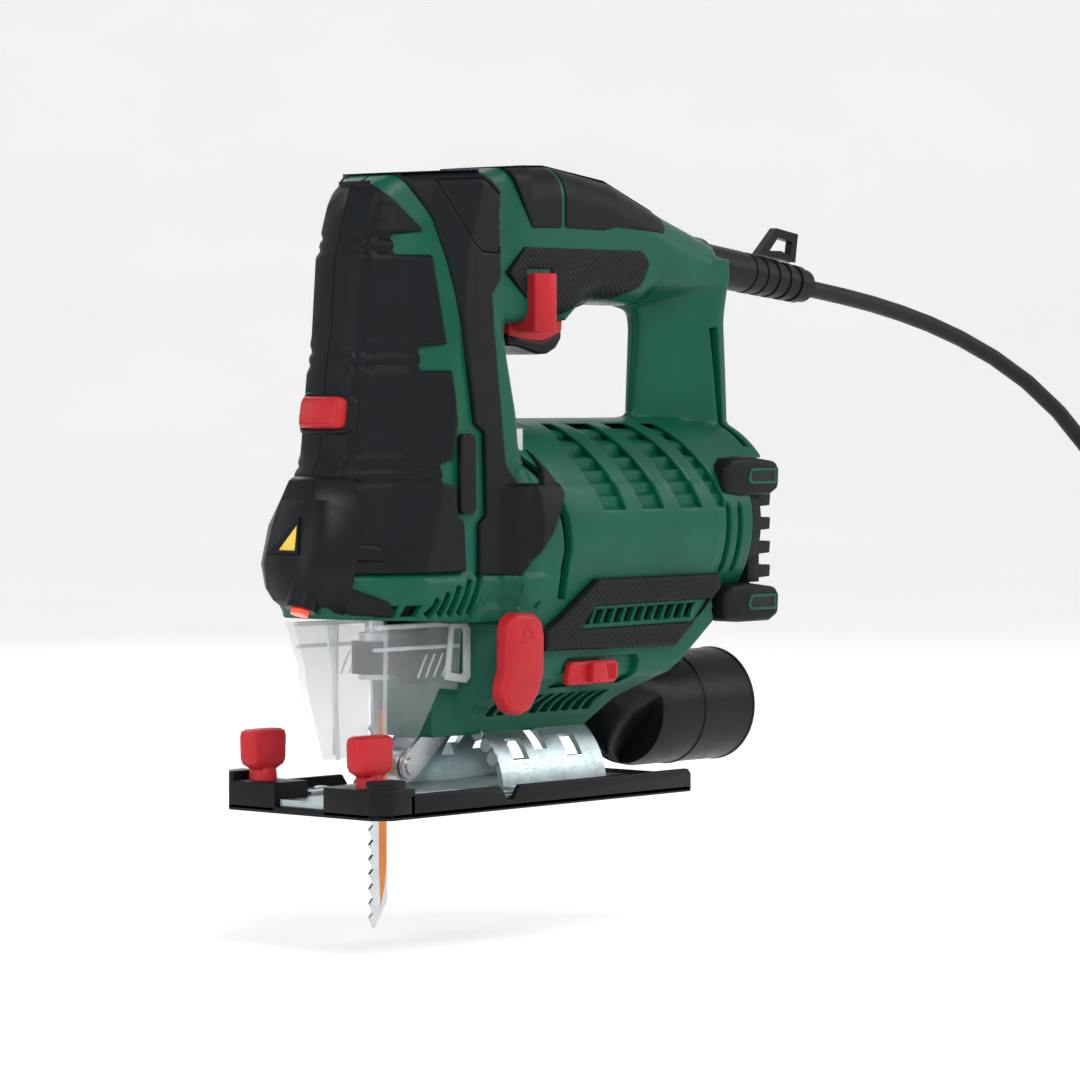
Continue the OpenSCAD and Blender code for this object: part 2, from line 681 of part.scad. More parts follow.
left_shell();
right_shell();
left_head_grip();
right_head_grip();
left_handle_grip();
right_handle_grip();
left_side_panel();
right_side_panel();
rear_bumper();
nose_cover();
label_plate();
housing_screws();
trigger();
trigger_pad();
lock_button();
selector_lever();
blower_slider();
light_switch();
switch_module();
laser_module();
laser_lens();
motor_stator();
motor_windings();
armature();
motor_pinion();
commutator();
cooling_fan();
front_bearing();
rear_bearing();
brush_holders();
carbon_brushes();
drive_gear();
gear_axle();
gearbox_plate();
plunger_bushes();
plunger_rod();
blade_clamp();
clamp_collar();
blade();
orbital_fork();
fork_pin();
guide_roller();
roller_pin();
blade_guard();
base_cradle();
sole_plate();
sliding_shoe();
base_screw();
left_guide_knob();
right_guide_knob();
dust_elbow();
dust_sleeve();
strain_relief();
key_clip();
cord_clamp();
cord_tube();
cord_coil();
coil_tie();
plug_body();
plug_pins();
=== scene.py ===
"""Looks of a corded jigsaw: moulded shells, soft grips, clear guard, steel base and mains lead.

Lengths are in millimetres up to mesh_piece(), which turns them into metres.
+X runs to the mains lead, -Y is the tool's left side, +Z is up from the sole.
"""

import math

import bmesh
import bpy
import numpy as np
from mathutils import Matrix, Vector
from mathutils.geometry import delaunay_2d_cdt


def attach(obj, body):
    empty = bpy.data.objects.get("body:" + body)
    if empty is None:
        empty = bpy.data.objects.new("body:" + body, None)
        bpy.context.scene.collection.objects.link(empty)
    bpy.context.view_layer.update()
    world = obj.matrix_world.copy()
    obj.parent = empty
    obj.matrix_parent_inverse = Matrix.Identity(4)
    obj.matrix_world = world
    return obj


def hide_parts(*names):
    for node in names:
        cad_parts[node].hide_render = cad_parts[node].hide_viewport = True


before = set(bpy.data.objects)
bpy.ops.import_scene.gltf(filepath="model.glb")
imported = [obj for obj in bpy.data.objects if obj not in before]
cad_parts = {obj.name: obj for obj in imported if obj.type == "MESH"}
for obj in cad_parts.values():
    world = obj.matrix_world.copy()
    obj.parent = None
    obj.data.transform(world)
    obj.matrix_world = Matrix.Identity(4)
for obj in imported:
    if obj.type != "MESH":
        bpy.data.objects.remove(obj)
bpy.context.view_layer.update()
MM = 0.001
BODY = "housing"

# ---------------------------------------------------------------- camera

CAMERA_AT = Vector((-1.1495, -1.0919, 0.1429))
LOOK_YAW = math.radians(41.51)
LOOK_DOWN = math.radians(1.86)
camera_data = bpy.data.cameras.new("camera")
camera_data.lens = 155.2
camera_data.sensor_width = 36
camera = bpy.data.objects.new("camera", camera_data)
bpy.context.scene.collection.objects.link(camera)
camera.location = CAMERA_AT
look = Vector((math.cos(LOOK_YAW) * math.cos(LOOK_DOWN), math.sin(LOOK_YAW) * math.cos(LOOK_DOWN),
               -math.sin(LOOK_DOWN)))
camera.rotation_euler = look.to_track_quat("-Z", "Y").to_euler()
bpy.context.scene.camera = camera


# ---------------------------------------------------------------- materials

class Nodes:
    """A material's node tree with short calls to add and join nodes."""

    def __init__(self, name):
        self.material = bpy.data.materials.new(name)
        self.material.use_nodes = True
        self.tree = self.material.node_tree
        self.shader = self.tree.nodes["Principled BSDF"]
        self.coords = self.add("ShaderNodeTexCoord").outputs["Object"]

    def add(self, kind, **values):
        """A node of a kind, with its settings."""
        node = self.tree.nodes.new(kind)
        for key, value in values.items():
            setattr(node, key, value)
        return node

    def join(self, start, end):
        """A link from an output to an input."""
        self.tree.links.new(start, end)

    def noise(self, scale, detail=3.0, rough=0.55, stretch=(1, 1, 1)):
        """The output of a noise texture."""
        mapping = self.add("ShaderNodeMapping")
        mapping.inputs["Scale"].default_value = stretch
        self.join(self.coords, mapping.inputs["Vector"])
        noise = self.add("ShaderNodeTexNoise")
        noise.inputs["Scale"].default_value = scale
        noise.inputs["Detail"].default_value = detail
        noise.inputs["Roughness"].default_value = rough
        self.join(mapping.outputs["Vector"], noise.inputs["Vector"])
        return noise.outputs["Fac"]

    def lines(self, scale, turn, distortion=0.0):
        """The output of a texture of parallel lines, turned by the given angles."""
        mapping = self.add("ShaderNodeMapping")
        mapping.inputs["Rotation"].default_value = turn
        self.join(self.coords, mapping.inputs["Vector"])
        wave = self.add("ShaderNodeTexWave")
        wave.bands_direction = "X"
        wave.inputs["Scale"].default_value = scale
        wave.inputs["Distortion"].default_value = distortion
        self.join(mapping.outputs["Vector"], wave.inputs["Vector"])
        return wave.outputs["Fac"]

    def ramp(self, source, stops):
        """The output of a colour ramp over a source."""
        ramp = self.add("ShaderNodeValToRGB")
        elements = ramp.color_ramp.elements
        while len(elements) < len(stops):
            elements.new(0.5)
        for element, (place, colour) in zip(elements, stops):
            element.position = place
            element.color = (*colour, 1) if len(colour) == 3 else colour
        self.join(source, ramp.inputs["Fac"])
        return ramp.outputs["Color"]

    def span(self, source, low, high, start=0.3, end=0.7):
        spread = self.add("ShaderNodeMapRange")
        spread.inputs["From Min"].default_value = start
        spread.inputs["From Max"].default_value = end
        spread.inputs["To Min"].default_value = low
        spread.inputs["To Max"].default_value = high
        self.join(source, spread.inputs["Value"])
        return spread.outputs["Result"]

    def bump(self, *layers):
        normal = None
        for height, strength, distance in layers:
            bump = self.add("ShaderNodeBump")
            bump.inputs["Strength"].default_value = strength
            bump.inputs["Distance"].default_value = distance
            self.join(height, bump.inputs["Height"])
            if normal is not None:
                self.join(normal, bump.inputs["Normal"])
            normal = bump.outputs["Normal"]
        self.join(normal, self.shader.inputs["Normal"])

    def set(self, **values):
        for key, value in values.items():
            self.shader.inputs[key.replace("_", " ")].default_value = value


def shade(colour, factor):
    """The colour made darker or lighter by a factor."""
    return tuple(min(1.0, c * factor) for c in colour)


def moulded(name, colour, rough=0.42, grain=0.25, lines=0.0, line_turn=(0, 0.9, 0), soft=0.0, gloss=0.2):
    """Moulded plastic or rubber: fine grain, faint cloudiness, a few rubbed spots."""
    n = Nodes(name)
    cloud = n.noise(38, 4, 0.6)
    n.join(n.ramp(cloud, [(0.3, shade(colour, 0.86)), (0.55, colour), (0.8, shade(colour, 1.16))]),
           n.shader.inputs["Base Color"])
    n.join(n.span(n.noise(120, 5, 0.65), rough - 0.07, rough + 0.1), n.shader.inputs["Roughness"])
    layers = [(n.noise(2600, 2, 0.5), grain, 0.00008), (n.noise(90, 2, 0.5), 0.1, 0.0003)]
    if lines:
        layers.insert(0, (n.lines(190, line_turn, 0.4), lines, 0.00035))
    n.bump(*layers)
    n.set(Specular_IOR_Level=gloss)
    if soft:
        n.set(Sheen_Weight=soft, Sheen_Roughness=0.5)
    return n.material


def metal(name, colour, rough=0.3, brushed=(1, 1, 14), spangle=0.0):
    """Worked steel: drawn streaks, fine scratches and cloudy zinc."""
    n = Nodes(name)
    streaks = n.noise(420, 5, 0.7, brushed)
    base = n.ramp(n.noise(55 if not spangle else 140, 4, 0.7),
                  [(0.3, shade(colour, 0.8)), (0.5, colour), (0.72, shade(colour, 1.12))])
    n.join(base, n.shader.inputs["Base Color"])
    n.join(n.span(streaks, rough - 0.1, rough + 0.14), n.shader.inputs["Roughness"])
    n.bump((streaks, 0.12, 0.0001), (n.noise(900, 3, 0.6), 0.08 + spangle * 0.2, 0.0001))
    n.set(Metallic=1.0)
    return n.material


GREEN = (0.0015, 0.078, 0.046)
BLACK = (0.0055, 0.0072, 0.0088)
RED = (0.43, 0.016, 0.022)
green = moulded("green_plastic", GREEN, 0.36, 0.32)
grip = moulded("soft_grip", BLACK, 0.46, 0.4, gloss=0.13)
grip_lined = moulded("lined_grip", BLACK, 0.46, 0.3, lines=0.3, gloss=0.13)
black = moulded("black_plastic", shade(BLACK, 0.85), 0.36, 0.22, gloss=0.15)
red = moulded("red_plastic", RED, 0.38, 0.3)
lead_rubber = moulded("lead_rubber", shade(BLACK, 0.9), 0.45, 0.15)
steel = metal("steel", (0.5, 0.51, 0.53), 0.3)
zinc = metal("zinc_steel", (0.4, 0.475, 0.49), 0.36, (1, 8, 1), spangle=0.15)
cast = metal("cast_alloy", (0.52, 0.53, 0.54), 0.45, (3, 3, 3), spangle=1.0)
copper = metal("copper", (0.62, 0.26, 0.1), 0.35, (1, 1, 20))
bronze = metal("bronze", (0.6, 0.42, 0.2), 0.32, (1, 1, 6))
carbon = moulded("carbon", (0.02, 0.02, 0.021), 0.6, 0.5)
# Very dark plastic used as painted shade: the sheet behind the vents and the backs of the foot slots.
painted_shade_dark = moulded("painted_shade_inside", (0.012, 0.013, 0.014), 0.55, 0.2)


# ---------------------------------------------------------------- mesh tools

def mesh_piece(name, points, faces, material, body=BODY, stands_for=(), slot=None, smooth=35):
    """Makes one object from points in millimetres and lets it ride on a body."""
    mesh = bpy.data.meshes.new(name)
    mesh.from_pydata([(x * MM, y * MM, z * MM) for x, y, z in points], [], faces)
    work = bmesh.new()
    work.from_mesh(mesh)
    bmesh.ops.remove_doubles(work, verts=work.verts, dist=1e-6)
    bmesh.ops.dissolve_degenerate(work, edges=work.edges, dist=1e-6)
    bmesh.ops.recalc_face_normals(work, faces=work.faces)
    for face in work.faces:
        face.smooth = True
    sharp = math.radians(smooth)
    for edge in work.edges:
        edge.smooth = len(edge.link_faces) != 2 or edge.calc_face_angle(math.pi) < sharp
    work.to_mesh(mesh)
    work.free()
    piece = bpy.data.objects.new(name, mesh)
    bpy.context.scene.collection.objects.link(piece)
    mesh.materials.append(material)
    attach(piece, body)
    if stands_for:
        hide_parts(*stands_for)
    return piece


def bevel(piece, width, segments=3, angle=40):
    """Rounds the sharp edges of a piece, and applies it."""
    work = bmesh.new()
    work.from_mesh(piece.data)
    limit = math.radians(angle)
    edges = [e for e in work.edges if len(e.link_faces) == 2 and e.calc_face_angle(0) > limit]
    bmesh.ops.bevel(work, geom=edges, offset=width * MM, segments=segments, profile=0.5,
                    affect="EDGES", clamp_overlap=True)
    for edge in work.edges:
        edge.smooth = len(edge.link_faces) != 2 or edge.calc_face_angle(math.pi) < math.radians(42)
    for face in work.faces:
        face.smooth = True
    work.to_mesh(piece.data)
    work.free()
    return piece


def resample(loop, step):
    """The loop's corners, with even points between them no further apart than step."""
    points = []
    for start, end in zip(loop, loop[1:] + loop[:1]):
        start, end = np.array(start, float), np.array(end, float)
        count = max(1, int(math.ceil(np.linalg.norm(end - start) / step)))
        points += [tuple(start + (end - start) * k / count) for k in range(count)]
    return points


def inside(points, loops):
    """True for the points that are in an odd number of the loops."""
    x, z = points[:, 0], points[:, 1]
    result = np.zeros(len(points), bool)
    for loop in loops:
        for (x0, z0), (x1, z1) in zip(loop, loop[1:] + loop[:1]):
            if z0 == z1:
                continue
            crossing = (z0 > z) != (z1 > z)
            result ^= crossing & (x < (x1 - x0) * (z - z0) / (z1 - z0) + x0)
    return result


def edge_distance(points, loops):
    """Distance of each point from the nearest edge of the loops."""
    nearest = np.full(len(points), 1e9)
    for loop in loops:
        for start, end in zip(loop, loop[1:] + loop[:1]):
            start, end = np.array(start, float), np.array(end, float)
            along = end - start
            t = np.clip(((points - start) @ along) / max(along @ along, 1e-9), 0, 1)
            nearest = np.minimum(nearest, np.linalg.norm(points - start - t[:, None] * along, axis=1))
    return nearest


def inward(loop, distance, loops):
    """Points of the loop moved square to it by distance, to whichever side is inside."""
    ring = np.array(loop)
    along = np.roll(ring, -1, 0) - np.roll(ring, 1, 0)
    normal = np.stack([-along[:, 1], along[:, 0]], 1)
    normal /= np.maximum(np.linalg.norm(normal, axis=1), 1e-9)[:, None]
    both = np.concatenate([ring + normal * distance, ring - normal * distance])
    keep = inside(both, loops) & (edge_distance(both, loops) > distance * 0.93)
    return both[keep]


def flat_mesh(loops, step, rings):
    """Triangles over the area between the loops, finer along the edges."""
    fine = [resample(loop, step * 0.8) for loop in loops]
    verts, edges = [], []
    for loop in fine:
        base = len(verts)
        verts += loop
        edges += [(base + k, base + (k + 1) % len(loop)) for k in range(len(loop))]
    extra = [inward(loop, ring, loops) for loop in fine for ring in rings]
    low, high = np.min(verts, 0), np.max(verts, 0)
    xs = np.arange(low[0] + step / 2, high[0], step)
    zs = np.arange(low[1] + step / 2, high[1], step)
    grid = np.array([(x + (row % 2) * step / 2, z) for row, z in enumerate(zs) for x in xs])
    if len(grid):
        grid = grid[inside(grid, loops)]
        extra.append(grid[edge_distance(grid, loops) > max(rings, default=0) + step * 0.5])
    for block in extra:
        verts += [tuple(p) for p in block]
    out_verts, _, out_faces, _, _, _ = delaunay_2d_cdt(
        [Vector(v) for v in verts], edges, [], 0, 1e-4)
    points = np.array([tuple(v) for v in out_verts])
    faces = np.array([tuple(f) for f in out_faces])
    middles = points[faces].mean(axis=1)
    return points, faces[inside(middles, loops)]


# Ways kept free on both sides of the centre plane, for the blade clamp and for the trigger:
# from x, to x, from z, to z, half width
MOVING_WAYS = ((-17, 17, 60, 90, 13.5), (56, 98, 158, 185, 9.7))
RIM_WALL = 1.3
LEAST_WALL = 0.02


def relief(name, loops, height, material, side=-1, step=1.4, rings=(0.3, 0.8, 1.5), thick=2.0,
           floor=0.12, **ride):
    """A closed skin over loops in x and z. height(x, z, d) is its distance from the centre plane."""
    points, faces = flat_mesh(loops, step, rings)
    d = edge_distance(points, loops)
    top = np.maximum(height(points[:, 0], points[:, 1], d), floor)
    rim = np.minimum(edge_distance(points, [OUTER]), strip_distance(points, ROUND_PATHS))
    under = np.where(rim < RIM_WALL, floor, np.maximum(top - thick, floor))
    for x0, x1, z0, z1, half in MOVING_WAYS:
        way = (points[:, 0] > x0) & (points[:, 0] < x1) & (points[:, 1] > z0) & (points[:, 1] < z1)
        under = np.where(way, np.maximum(under, half), under)
    top = np.maximum(top, under + LEAST_WALL)
    count = len(points)
    verts = [(p[0], side * t, p[1]) for p, t in zip(points, top)]
    verts += [(p[0], side * t, p[1]) for p, t in zip(points, under)]
    skin = [tuple(f) for f in faces] + [tuple(count + v for v in f[::-1]) for f in faces]
    seen = {}
    for a, b, c in faces:
        for start, end in ((a, b), (b, c), (c, a)):
            seen[(start, end)] = True
    walls = [(start, end, count + end, count + start) for start, end in seen if (end, start) not in seen]
    return mesh_piece(name, verts, skin + walls, material, **ride)


def combine(*parts):
    """Several closed solids as one list of points and one of faces."""
    verts, faces = [], []
    for more_verts, more_faces in parts:
        base = len(verts)
        verts += more_verts
        faces += [tuple(base + v for v in face) for face in more_faces]
    return verts, faces


def turned(points, axis):
    """Points given as two places across and one along, put on the named axis."""
    order = {"x": lambda u, v, w: (w, u, v), "y": lambda u, v, w: (u, w, v), "z": lambda u, v, w: (u, v, w)}
    return [order[axis](*p) for p in points]


def slab(loops, a, b, axis="y"):
    """A plate with holes from a to b. Outlines are x,z on the y axis, y,z on x, and x,y on z."""
    verts, edges = [], []
    for loop in loops:
        base = len(verts)
        verts += [Vector(p) for p in loop]
        edges += [(base + k, base + (k + 1) % len(loop)) for k in range(len(loop))]
    flat, _, faces, _, _, _ = delaunay_2d_cdt(verts, edges, [], 0, 1e-4)
    points, faces = np.array([tuple(v) for v in flat]), np.array([tuple(f) for f in faces])
    faces = faces[inside(points[faces].mean(axis=1), loops)]
    count = len(points)
    solid = [(*p, a) for p in points] + [(*p, b) for p in points]
    skin = [tuple(f) for f in faces] + [tuple(count + v for v in f[::-1]) for f in faces]
    seen = {(f[k], f[(k + 1) % 3]) for f in faces for k in range(3)}
    walls = [(p, q, count + q, count + p) for p, q in seen if (q, p) not in seen]
    return turned(solid, axis), skin + walls


def block(low, high):
    """A box between two corners."""
    return slab([[(low[0], low[2]), (high[0], low[2]), (high[0], high[2]), (low[0], high[2])]],
                low[1], high[1])


def loft(rings):
    """Joins closed rings of equal count, with flat ends."""
    sides = len(rings[0])
    faces = [tuple(range(sides)), tuple(range((len(rings) - 1) * sides, len(rings) * sides))]
    for r in range(len(rings) - 1):
        for k in range(sides):
            a, b = r * sides + k, r * sides + (k + 1) % sides
            faces.append((a, b, b + sides, a + sides))
    return [tuple(p) for ring in rings for p in ring], faces


def lathe(profile, axis="x", centre=(0, 0, 0), sides=64):
    """A form turned round an axis. The closed profile lists places along it and radii."""
    rows, points, faces = len(profile), [], []
    for k in range(sides):
        a = 2 * math.pi * k / sides
        points += [(r * math.cos(a), r * math.sin(a), along) for along, r in profile]
        faces += [(k * rows + j, k * rows + (j + 1) % rows, (k + 1) % sides * rows + (j + 1) % rows,
                   (k + 1) % sides * rows + j) for j in range(rows)]
    return [tuple(c + v for c, v in zip(centre, p)) for p in turned(points, axis)], faces


def solid(name, parts, material, body=BODY, width=0.0, segments=3, **ride):
    """One piece out of closed solids, its sharp edges rounded by width."""
    piece = mesh_piece(name, *combine(*parts), material, body, **ride)
    if width:
        work = bmesh.new()
        work.from_mesh(piece.data)
        bmesh.ops.dissolve_limit(work, angle_limit=0.02, verts=work.verts, edges=work.edges)
        work.to_mesh(piece.data)
        work.free()
        bevel(piece, width, segments)
    return piece


def rounded_box(u, v, corner=3, steps=3):
    """A rectangle of half sizes u and v with round corners, as points across an axis."""
    corner = min(corner, u * 0.95, v * 0.95)
    points = []
    for cu, cv, start in ((u, v, 0), (-u, v, 90), (-u, -v, 180), (u, -v, 270)):
        middle = (cu - math.copysign(corner, cu), cv - math.copysign(corner, cv))
        points += [(middle[0] + corner * math.cos(math.radians(start + 90 * k / steps)),
                    middle[1] + corner * math.sin(math.radians(start + 90 * k / steps)))
                   for k in range(steps + 1)]
    return points


# ---------------------------------------------------------------- mains lead

LEAD_D = 6.4
ROUTE = [(232.4, 0, 181.4), (242, 0, 180.2), (258, 0, 178.2), (276, 0, 175.6), (294, 0, 172.4),
         (312, -1, 168.2), (330, -3, 162.6), (348, -6, 155.2), (365, -10, 145.6),
         (381, -14, 133.6), (395, -18, 119.4), (407, -22, 103), (417, -25, 85), (426, -27, 66),
         (434, -28, 46), (442, -28, 26), (450, -28, 6.6), (459, -28, -12), (470, -28, -28),
         (484, -28, -39.6), (500, -28, -45.6), (513, -28, -47), (526, -28, -47)]
COIL_CENTRE = (536, 16.8)
COIL_MEAN = 35.2
LAYER_TURNS = 4
LAST_TURN_OUT, LAST_TURN_UP = 0.35, 0.5
FLOOR_Z = -50.2
PLUG_AT = (556, COIL_CENTRE[1] - COIL_MEAN - 1.5 * LEAD_D, FLOOR_Z + 10)


def coil_points(per_turn=24):
    """A layer of turns inwards on the floor and one outwards on it, its last turn riding up."""
    reach = (LAYER_TURNS - 1) / 2 * LEAD_D
    outer, inner = COIL_MEAN + reach, COIL_MEAN - reach
    low = FLOOR_Z + LEAD_D / 2
    points = []
    for k in range(2 * LAYER_TURNS * per_turn + 1):
        turn = k / per_turn
        last = turn - (2 * LAYER_TURNS - 1)
        if turn <= LAYER_TURNS - 1:
            radius, rise = outer - LEAD_D * turn, 0
        elif turn <= LAYER_TURNS:
            radius, rise = inner, turn - (LAYER_TURNS - 1)
        elif last <= 0:
            radius, rise = inner + LEAD_D * (turn - LAYER_TURNS), 1
        else:
            radius, rise = outer + LAST_TURN_OUT * LEAD_D * last, 1 + LAST_TURN_UP * last
        angle = 2 * math.pi * turn - math.pi / 2
        points.append((COIL_CENTRE[0] + radius * math.cos(angle),
                       COIL_CENTRE[1] + radius * math.sin(angle), low + LEAD_D * rise))
    return points


def lead():
    """The free mains lead as one curve, from the strain relief to the plug."""
    coil = coil_points()
    end = coil[-1]
    shift, drop = LAST_TURN_OUT * LEAD_D, end[2] - PLUG_AT[2]
    tail = [(end[0] + x, end[1] + shift * fall, end[2] - drop * fall)
            for x, fall in ((5, 0.12), (10, 0.5), (15, 0.88), (20, 1), (22, 1))]
    points = [(226, 0, 182.2)] + ROUTE + coil + tail
    curve = bpy.data.curves.new("mains_lead", "CURVE")
    curve.dimensions = "3D"
    curve.bevel_depth = LEAD_D / 2 * MM
    curve.bevel_resolution = 5
    curve.use_fill_caps = True
    spline = curve.splines.new("POLY")
    spline.points.add(len(points) - 1)
    for point, place in zip(spline.points, points):
        point.co = (*(c * MM for c in place), 1)
    piece = bpy.data.objects.new("mains_lead", curve)
    bpy.context.scene.collection.objects.link(piece)
    curve.materials.append(lead_rubber)
    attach(piece, BODY)
    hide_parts("cord_tube", "cord_coil")
    return piece


mains_lead = lead()


def plug():
    """Mains plug lying on the floor beyond the coil, with a ribbed neck."""
    neck = [(0, 0.1), (0, 4.7)]
    for k in range(5):
        neck += [(3 + 4 * k, 5 + 0.3 * k), (3.6 + 4 * k, 4.3 + 0.3 * k), (5.4 + 4 * k, 4.3 + 0.3 * k),
                 (6 + 4 * k, 5.2 + 0.3 * k)]
    neck += [(27, 6.6), (27, 0.1)]
    rings = [[(PLUG_AT[0] + x, PLUG_AT[1] + u, PLUG_AT[2] + v) for u, v in rounded_box(w, h, 6, 5)]
             for x, w, h in ((23, 5, 5), (25, 7, 7.4), (30, 9, 8.8), (44, 16, 9.8), (56, 17.2, 9.8),
                             (59, 16.6, 9.4), (60, 15.6, 8.6))]
    solid("plug_shell", [loft(rings), lathe(neck, centre=PLUG_AT, sides=40)], black,
          stands_for=["plug_body"])


plug()


# ---------------------------------------------------------------- floor and light

def bowl():
    """Pale floor that curves up all round, so that every view has the same backdrop."""
    verts, faces, sides = [(300, 0, FLOOR_Z - 0.3)], [], 96
    radii = [1500, 3500, 4500, 5400, 6200, 6900, 7400, 7800, 8000]
    for radius in radii:
        climb = max(0.0, (radius - 3500) / 4500)
        rise = 4500 * (1 - math.sqrt(max(0.0, 1 - climb * climb)))
        verts += [(300 + radius * math.cos(2 * math.pi * k / sides),
                   radius * math.sin(2 * math.pi * k / sides), FLOOR_Z - 0.3 + rise)
                  for k in range(sides)]
    faces += [(0, 1 + k, 1 + (k + 1) % sides) for k in range(sides)]
    for ring in range(len(radii) - 1):
        base = 1 + ring * sides
        faces += [(base + k, base + sides + k, base + sides + (k + 1) % sides, base + (k + 1) % sides)
                  for k in range(sides)]
    mesh = bpy.data.meshes.new("stage_bowl")
    mesh.from_pydata([(x * MM, y * MM, z * MM) for x, y, z in verts], [], faces)
    for face in mesh.polygons:
        face.use_smooth = True
    floor = bpy.data.objects.new("stage_bowl", mesh)
    bpy.context.scene.collection.objects.link(floor)
    n = Nodes("stage_white")
    n.join(n.ramp(n.noise(3, 2, 0.5), [(0.3, (0.86, 0.86, 0.86)), (0.7, (0.9, 0.9, 0.9))]),
           n.shader.inputs["Base Color"])
    n.set(Roughness=0.9, Emission_Color=(1, 1, 1, 1), Emission_Strength=0.34)
    mesh.materials.append(n.material)


def area_light(name, place, target, size, watts, colour=(1, 1, 1)):
    """A soft rectangular light at a place in metres, aimed at the target."""
    data = bpy.data.lights.new(name, "AREA")
    data.shape = "RECTANGLE"
    data.size, data.size_y = size
    data.energy = watts
    data.color = colour
    lamp = bpy.data.objects.new(name, data)
    bpy.context.scene.collection.objects.link(lamp)
    lamp.location = place
    aim = Vector(target) - Vector(place)
    lamp.rotation_euler = aim.to_track_quat("-Z", "Y").to_euler()


bowl()
MIDDLE = (0.07, 0, 0.1)
area_light("key", (-0.75, -1.1, 1.25), MIDDLE, (0.6, 0.6), 13)
area_light("front_fill", (-1.35, 0.15, 0.45), MIDDLE, (0.5, 1.2), 4)
area_light("rear_edge", (1.1, -0.9, 0.9), MIDDLE, (0.3, 1.0), 6)
area_light("back_fill", (0.5, 1.3, 0.9), MIDDLE, (1.2, 1.2), 7)
world = bpy.data.worlds.new("world")
world.use_nodes = True
world.node_tree.nodes["Background"].inputs["Color"].default_value = (1, 1, 1, 1)
world.node_tree.nodes["Background"].inputs["Strength"].default_value = 0.45
bpy.context.scene.world = world
bpy.context.scene.view_settings.view_transform = "Standard"


# ---------------------------------------------------------------- housing form

def blend(value, low, high):
    """0 below low, 1 above high, smooth between."""
    t = np.clip((value - low) / (high - low), 0, 1)
    return t * t * (3 - 2 * t)


def soft_max(a, b, width=2.0):
    """The larger of two heights, with a fillet where they cross."""
    return (a + b + np.sqrt((a - b) ** 2 + width ** 2) - width * 0.6) / 2


def rounded(height, d, radius):
    """Drops the height towards an edge that is d away, as a quarter round."""
    radius = np.minimum(radius, np.maximum(height, 0.01))
    return height - radius + np.sqrt(np.maximum(radius ** 2 - np.maximum(radius - d, 0) ** 2, 0))


def strip_distance(points, paths):
    """Distance from open paths."""
    nearest = np.full(len(points), 1e9)
    for path in paths:
        for start, end in zip(path, path[1:]):
            nearest = np.minimum(nearest, edge_distance(points, [[start, end]]))
    return nearest


BARREL_Z, BARREL_R = 95, 38
FRONT_EDGE = [(-36, 66), (-41, 80), (-31, 114), (-27.5, 121), (-24, 152), (-22, 161), (-20, 187),
              (-16, 200), (-12, 211)]
TOP_EDGE = [(-3, 215.2), (24, 216.6), (48, 219.3), (77, 221), (108, 216.3), (134, 206.5), (157, 199),
            (166, 196)]
REAR_EDGE = [(168.6, 190), (169, 180), (171.5, 150), (173.5, 118)]
OPENING = [(50, 165.5), (49, 158), (49.6, 134.5), (51, 132.6), (129, 132.6), (132.4, 135), (135, 164),
           (134.4, 169), (130, 172.8), (98, 173.2), (92, 171.4), (86.4, 167), (66, 166)]
OUTER = (FRONT_EDGE + TOP_EDGE + REAR_EDGE
         + [(158.3, 117), (158.3, 62), (141, 61), (126, 50), (89, 24), (12, 24), (12, 64)])
ROUND_PATHS = [[(-12, 211)] + TOP_EDGE + REAR_EDGE, OPENING[4:] + OPENING[:4] + OPENING[4:5]]


def form(x, z):
    """Half width of the whole housing: gear head, lower body, motor barrel, handle and rear post."""
    t = x - np.interp(z, [p[1] for p in FRONT_EDGE], [p[0] for p in FRONT_EDGE])
    head = np.interp(t, [0, 0.4, 1.3, 3, 4.6, 6.4, 18, 34], [0, 7.6, 10.9, 12, 12.3, 14.6, 22.6, 30])
    fall = np.interp(z, [100, 134, 159, 172], [44, 40.5, 34.5, 31])
    slope = np.interp(z, [134, 160, 175], [0.9, 0.9, 2.4])
    head = np.minimum(head, 30 - np.maximum(x - fall, 0) * slope) * (1 - blend(x, fall + 10, fall + 26))
    lower = np.minimum(np.interp(z, [24, 33, 35.5, 43, 47], [16.5, 19.5, 22.5, 34, 35]),
                       np.interp(x, [12, 24.5, 36, 39], [15, 15.8, 34, 35]))
    lower = lower * (z < 110) * (x > 12) * (1 - blend(x, 139, 143))
    barrel = np.sqrt(np.maximum(BARREL_R ** 2 - (z - BARREL_Z) ** 2, 0)) * blend(x, 26, 44)
    bar = 19 * blend(z, 150, 158) * (x > 18)
    bar = bar * (1 - blend(x, 122, 133) * (1 - blend(z, 167, 183)))
    post = np.interp(x, [132, 134, 145, 148, 163, 166, 174], [2.5, 3.4, 8, 9.6, 15.4, 16, 14.5])
    post = (post + 3 * blend(z, 165, 185)) * (z > 116) * (x > 130)
    height = soft_max(head * (z > 63.5), soft_max(bar, post, 0.5), 2.5)
    height = soft_max(height, soft_max(lower, barrel, 1.5), 1.0)
    d = strip_distance(np.stack([x, z], 1), ROUND_PATHS)
    soft = np.interp(z, [128, 160], [2.5, 12])
    return rounded(height, d, np.where(x < 60, 5, np.where((x > 130) & (z < 190), 1.6, soft)))


def groove(distance, half_width, depth):
    """A channel with soft shoulders about places where the distance is 0."""
    return depth * (1 - blend(np.abs(distance), half_width * 0.55, half_width * 1.25))


def ribbon(path, width):
    """A closed outline of even width along an open path."""
    path = np.array(path, float)
    along = np.gradient(path, axis=0)
    normal = np.stack([-along[:, 1], along[:, 0]], 1)
    normal *= width / 2 / np.linalg.norm(normal, axis=1)[:, None]
    return [tuple(p) for p in path + normal] + [tuple(p) for p in (path - normal)[::-1]]


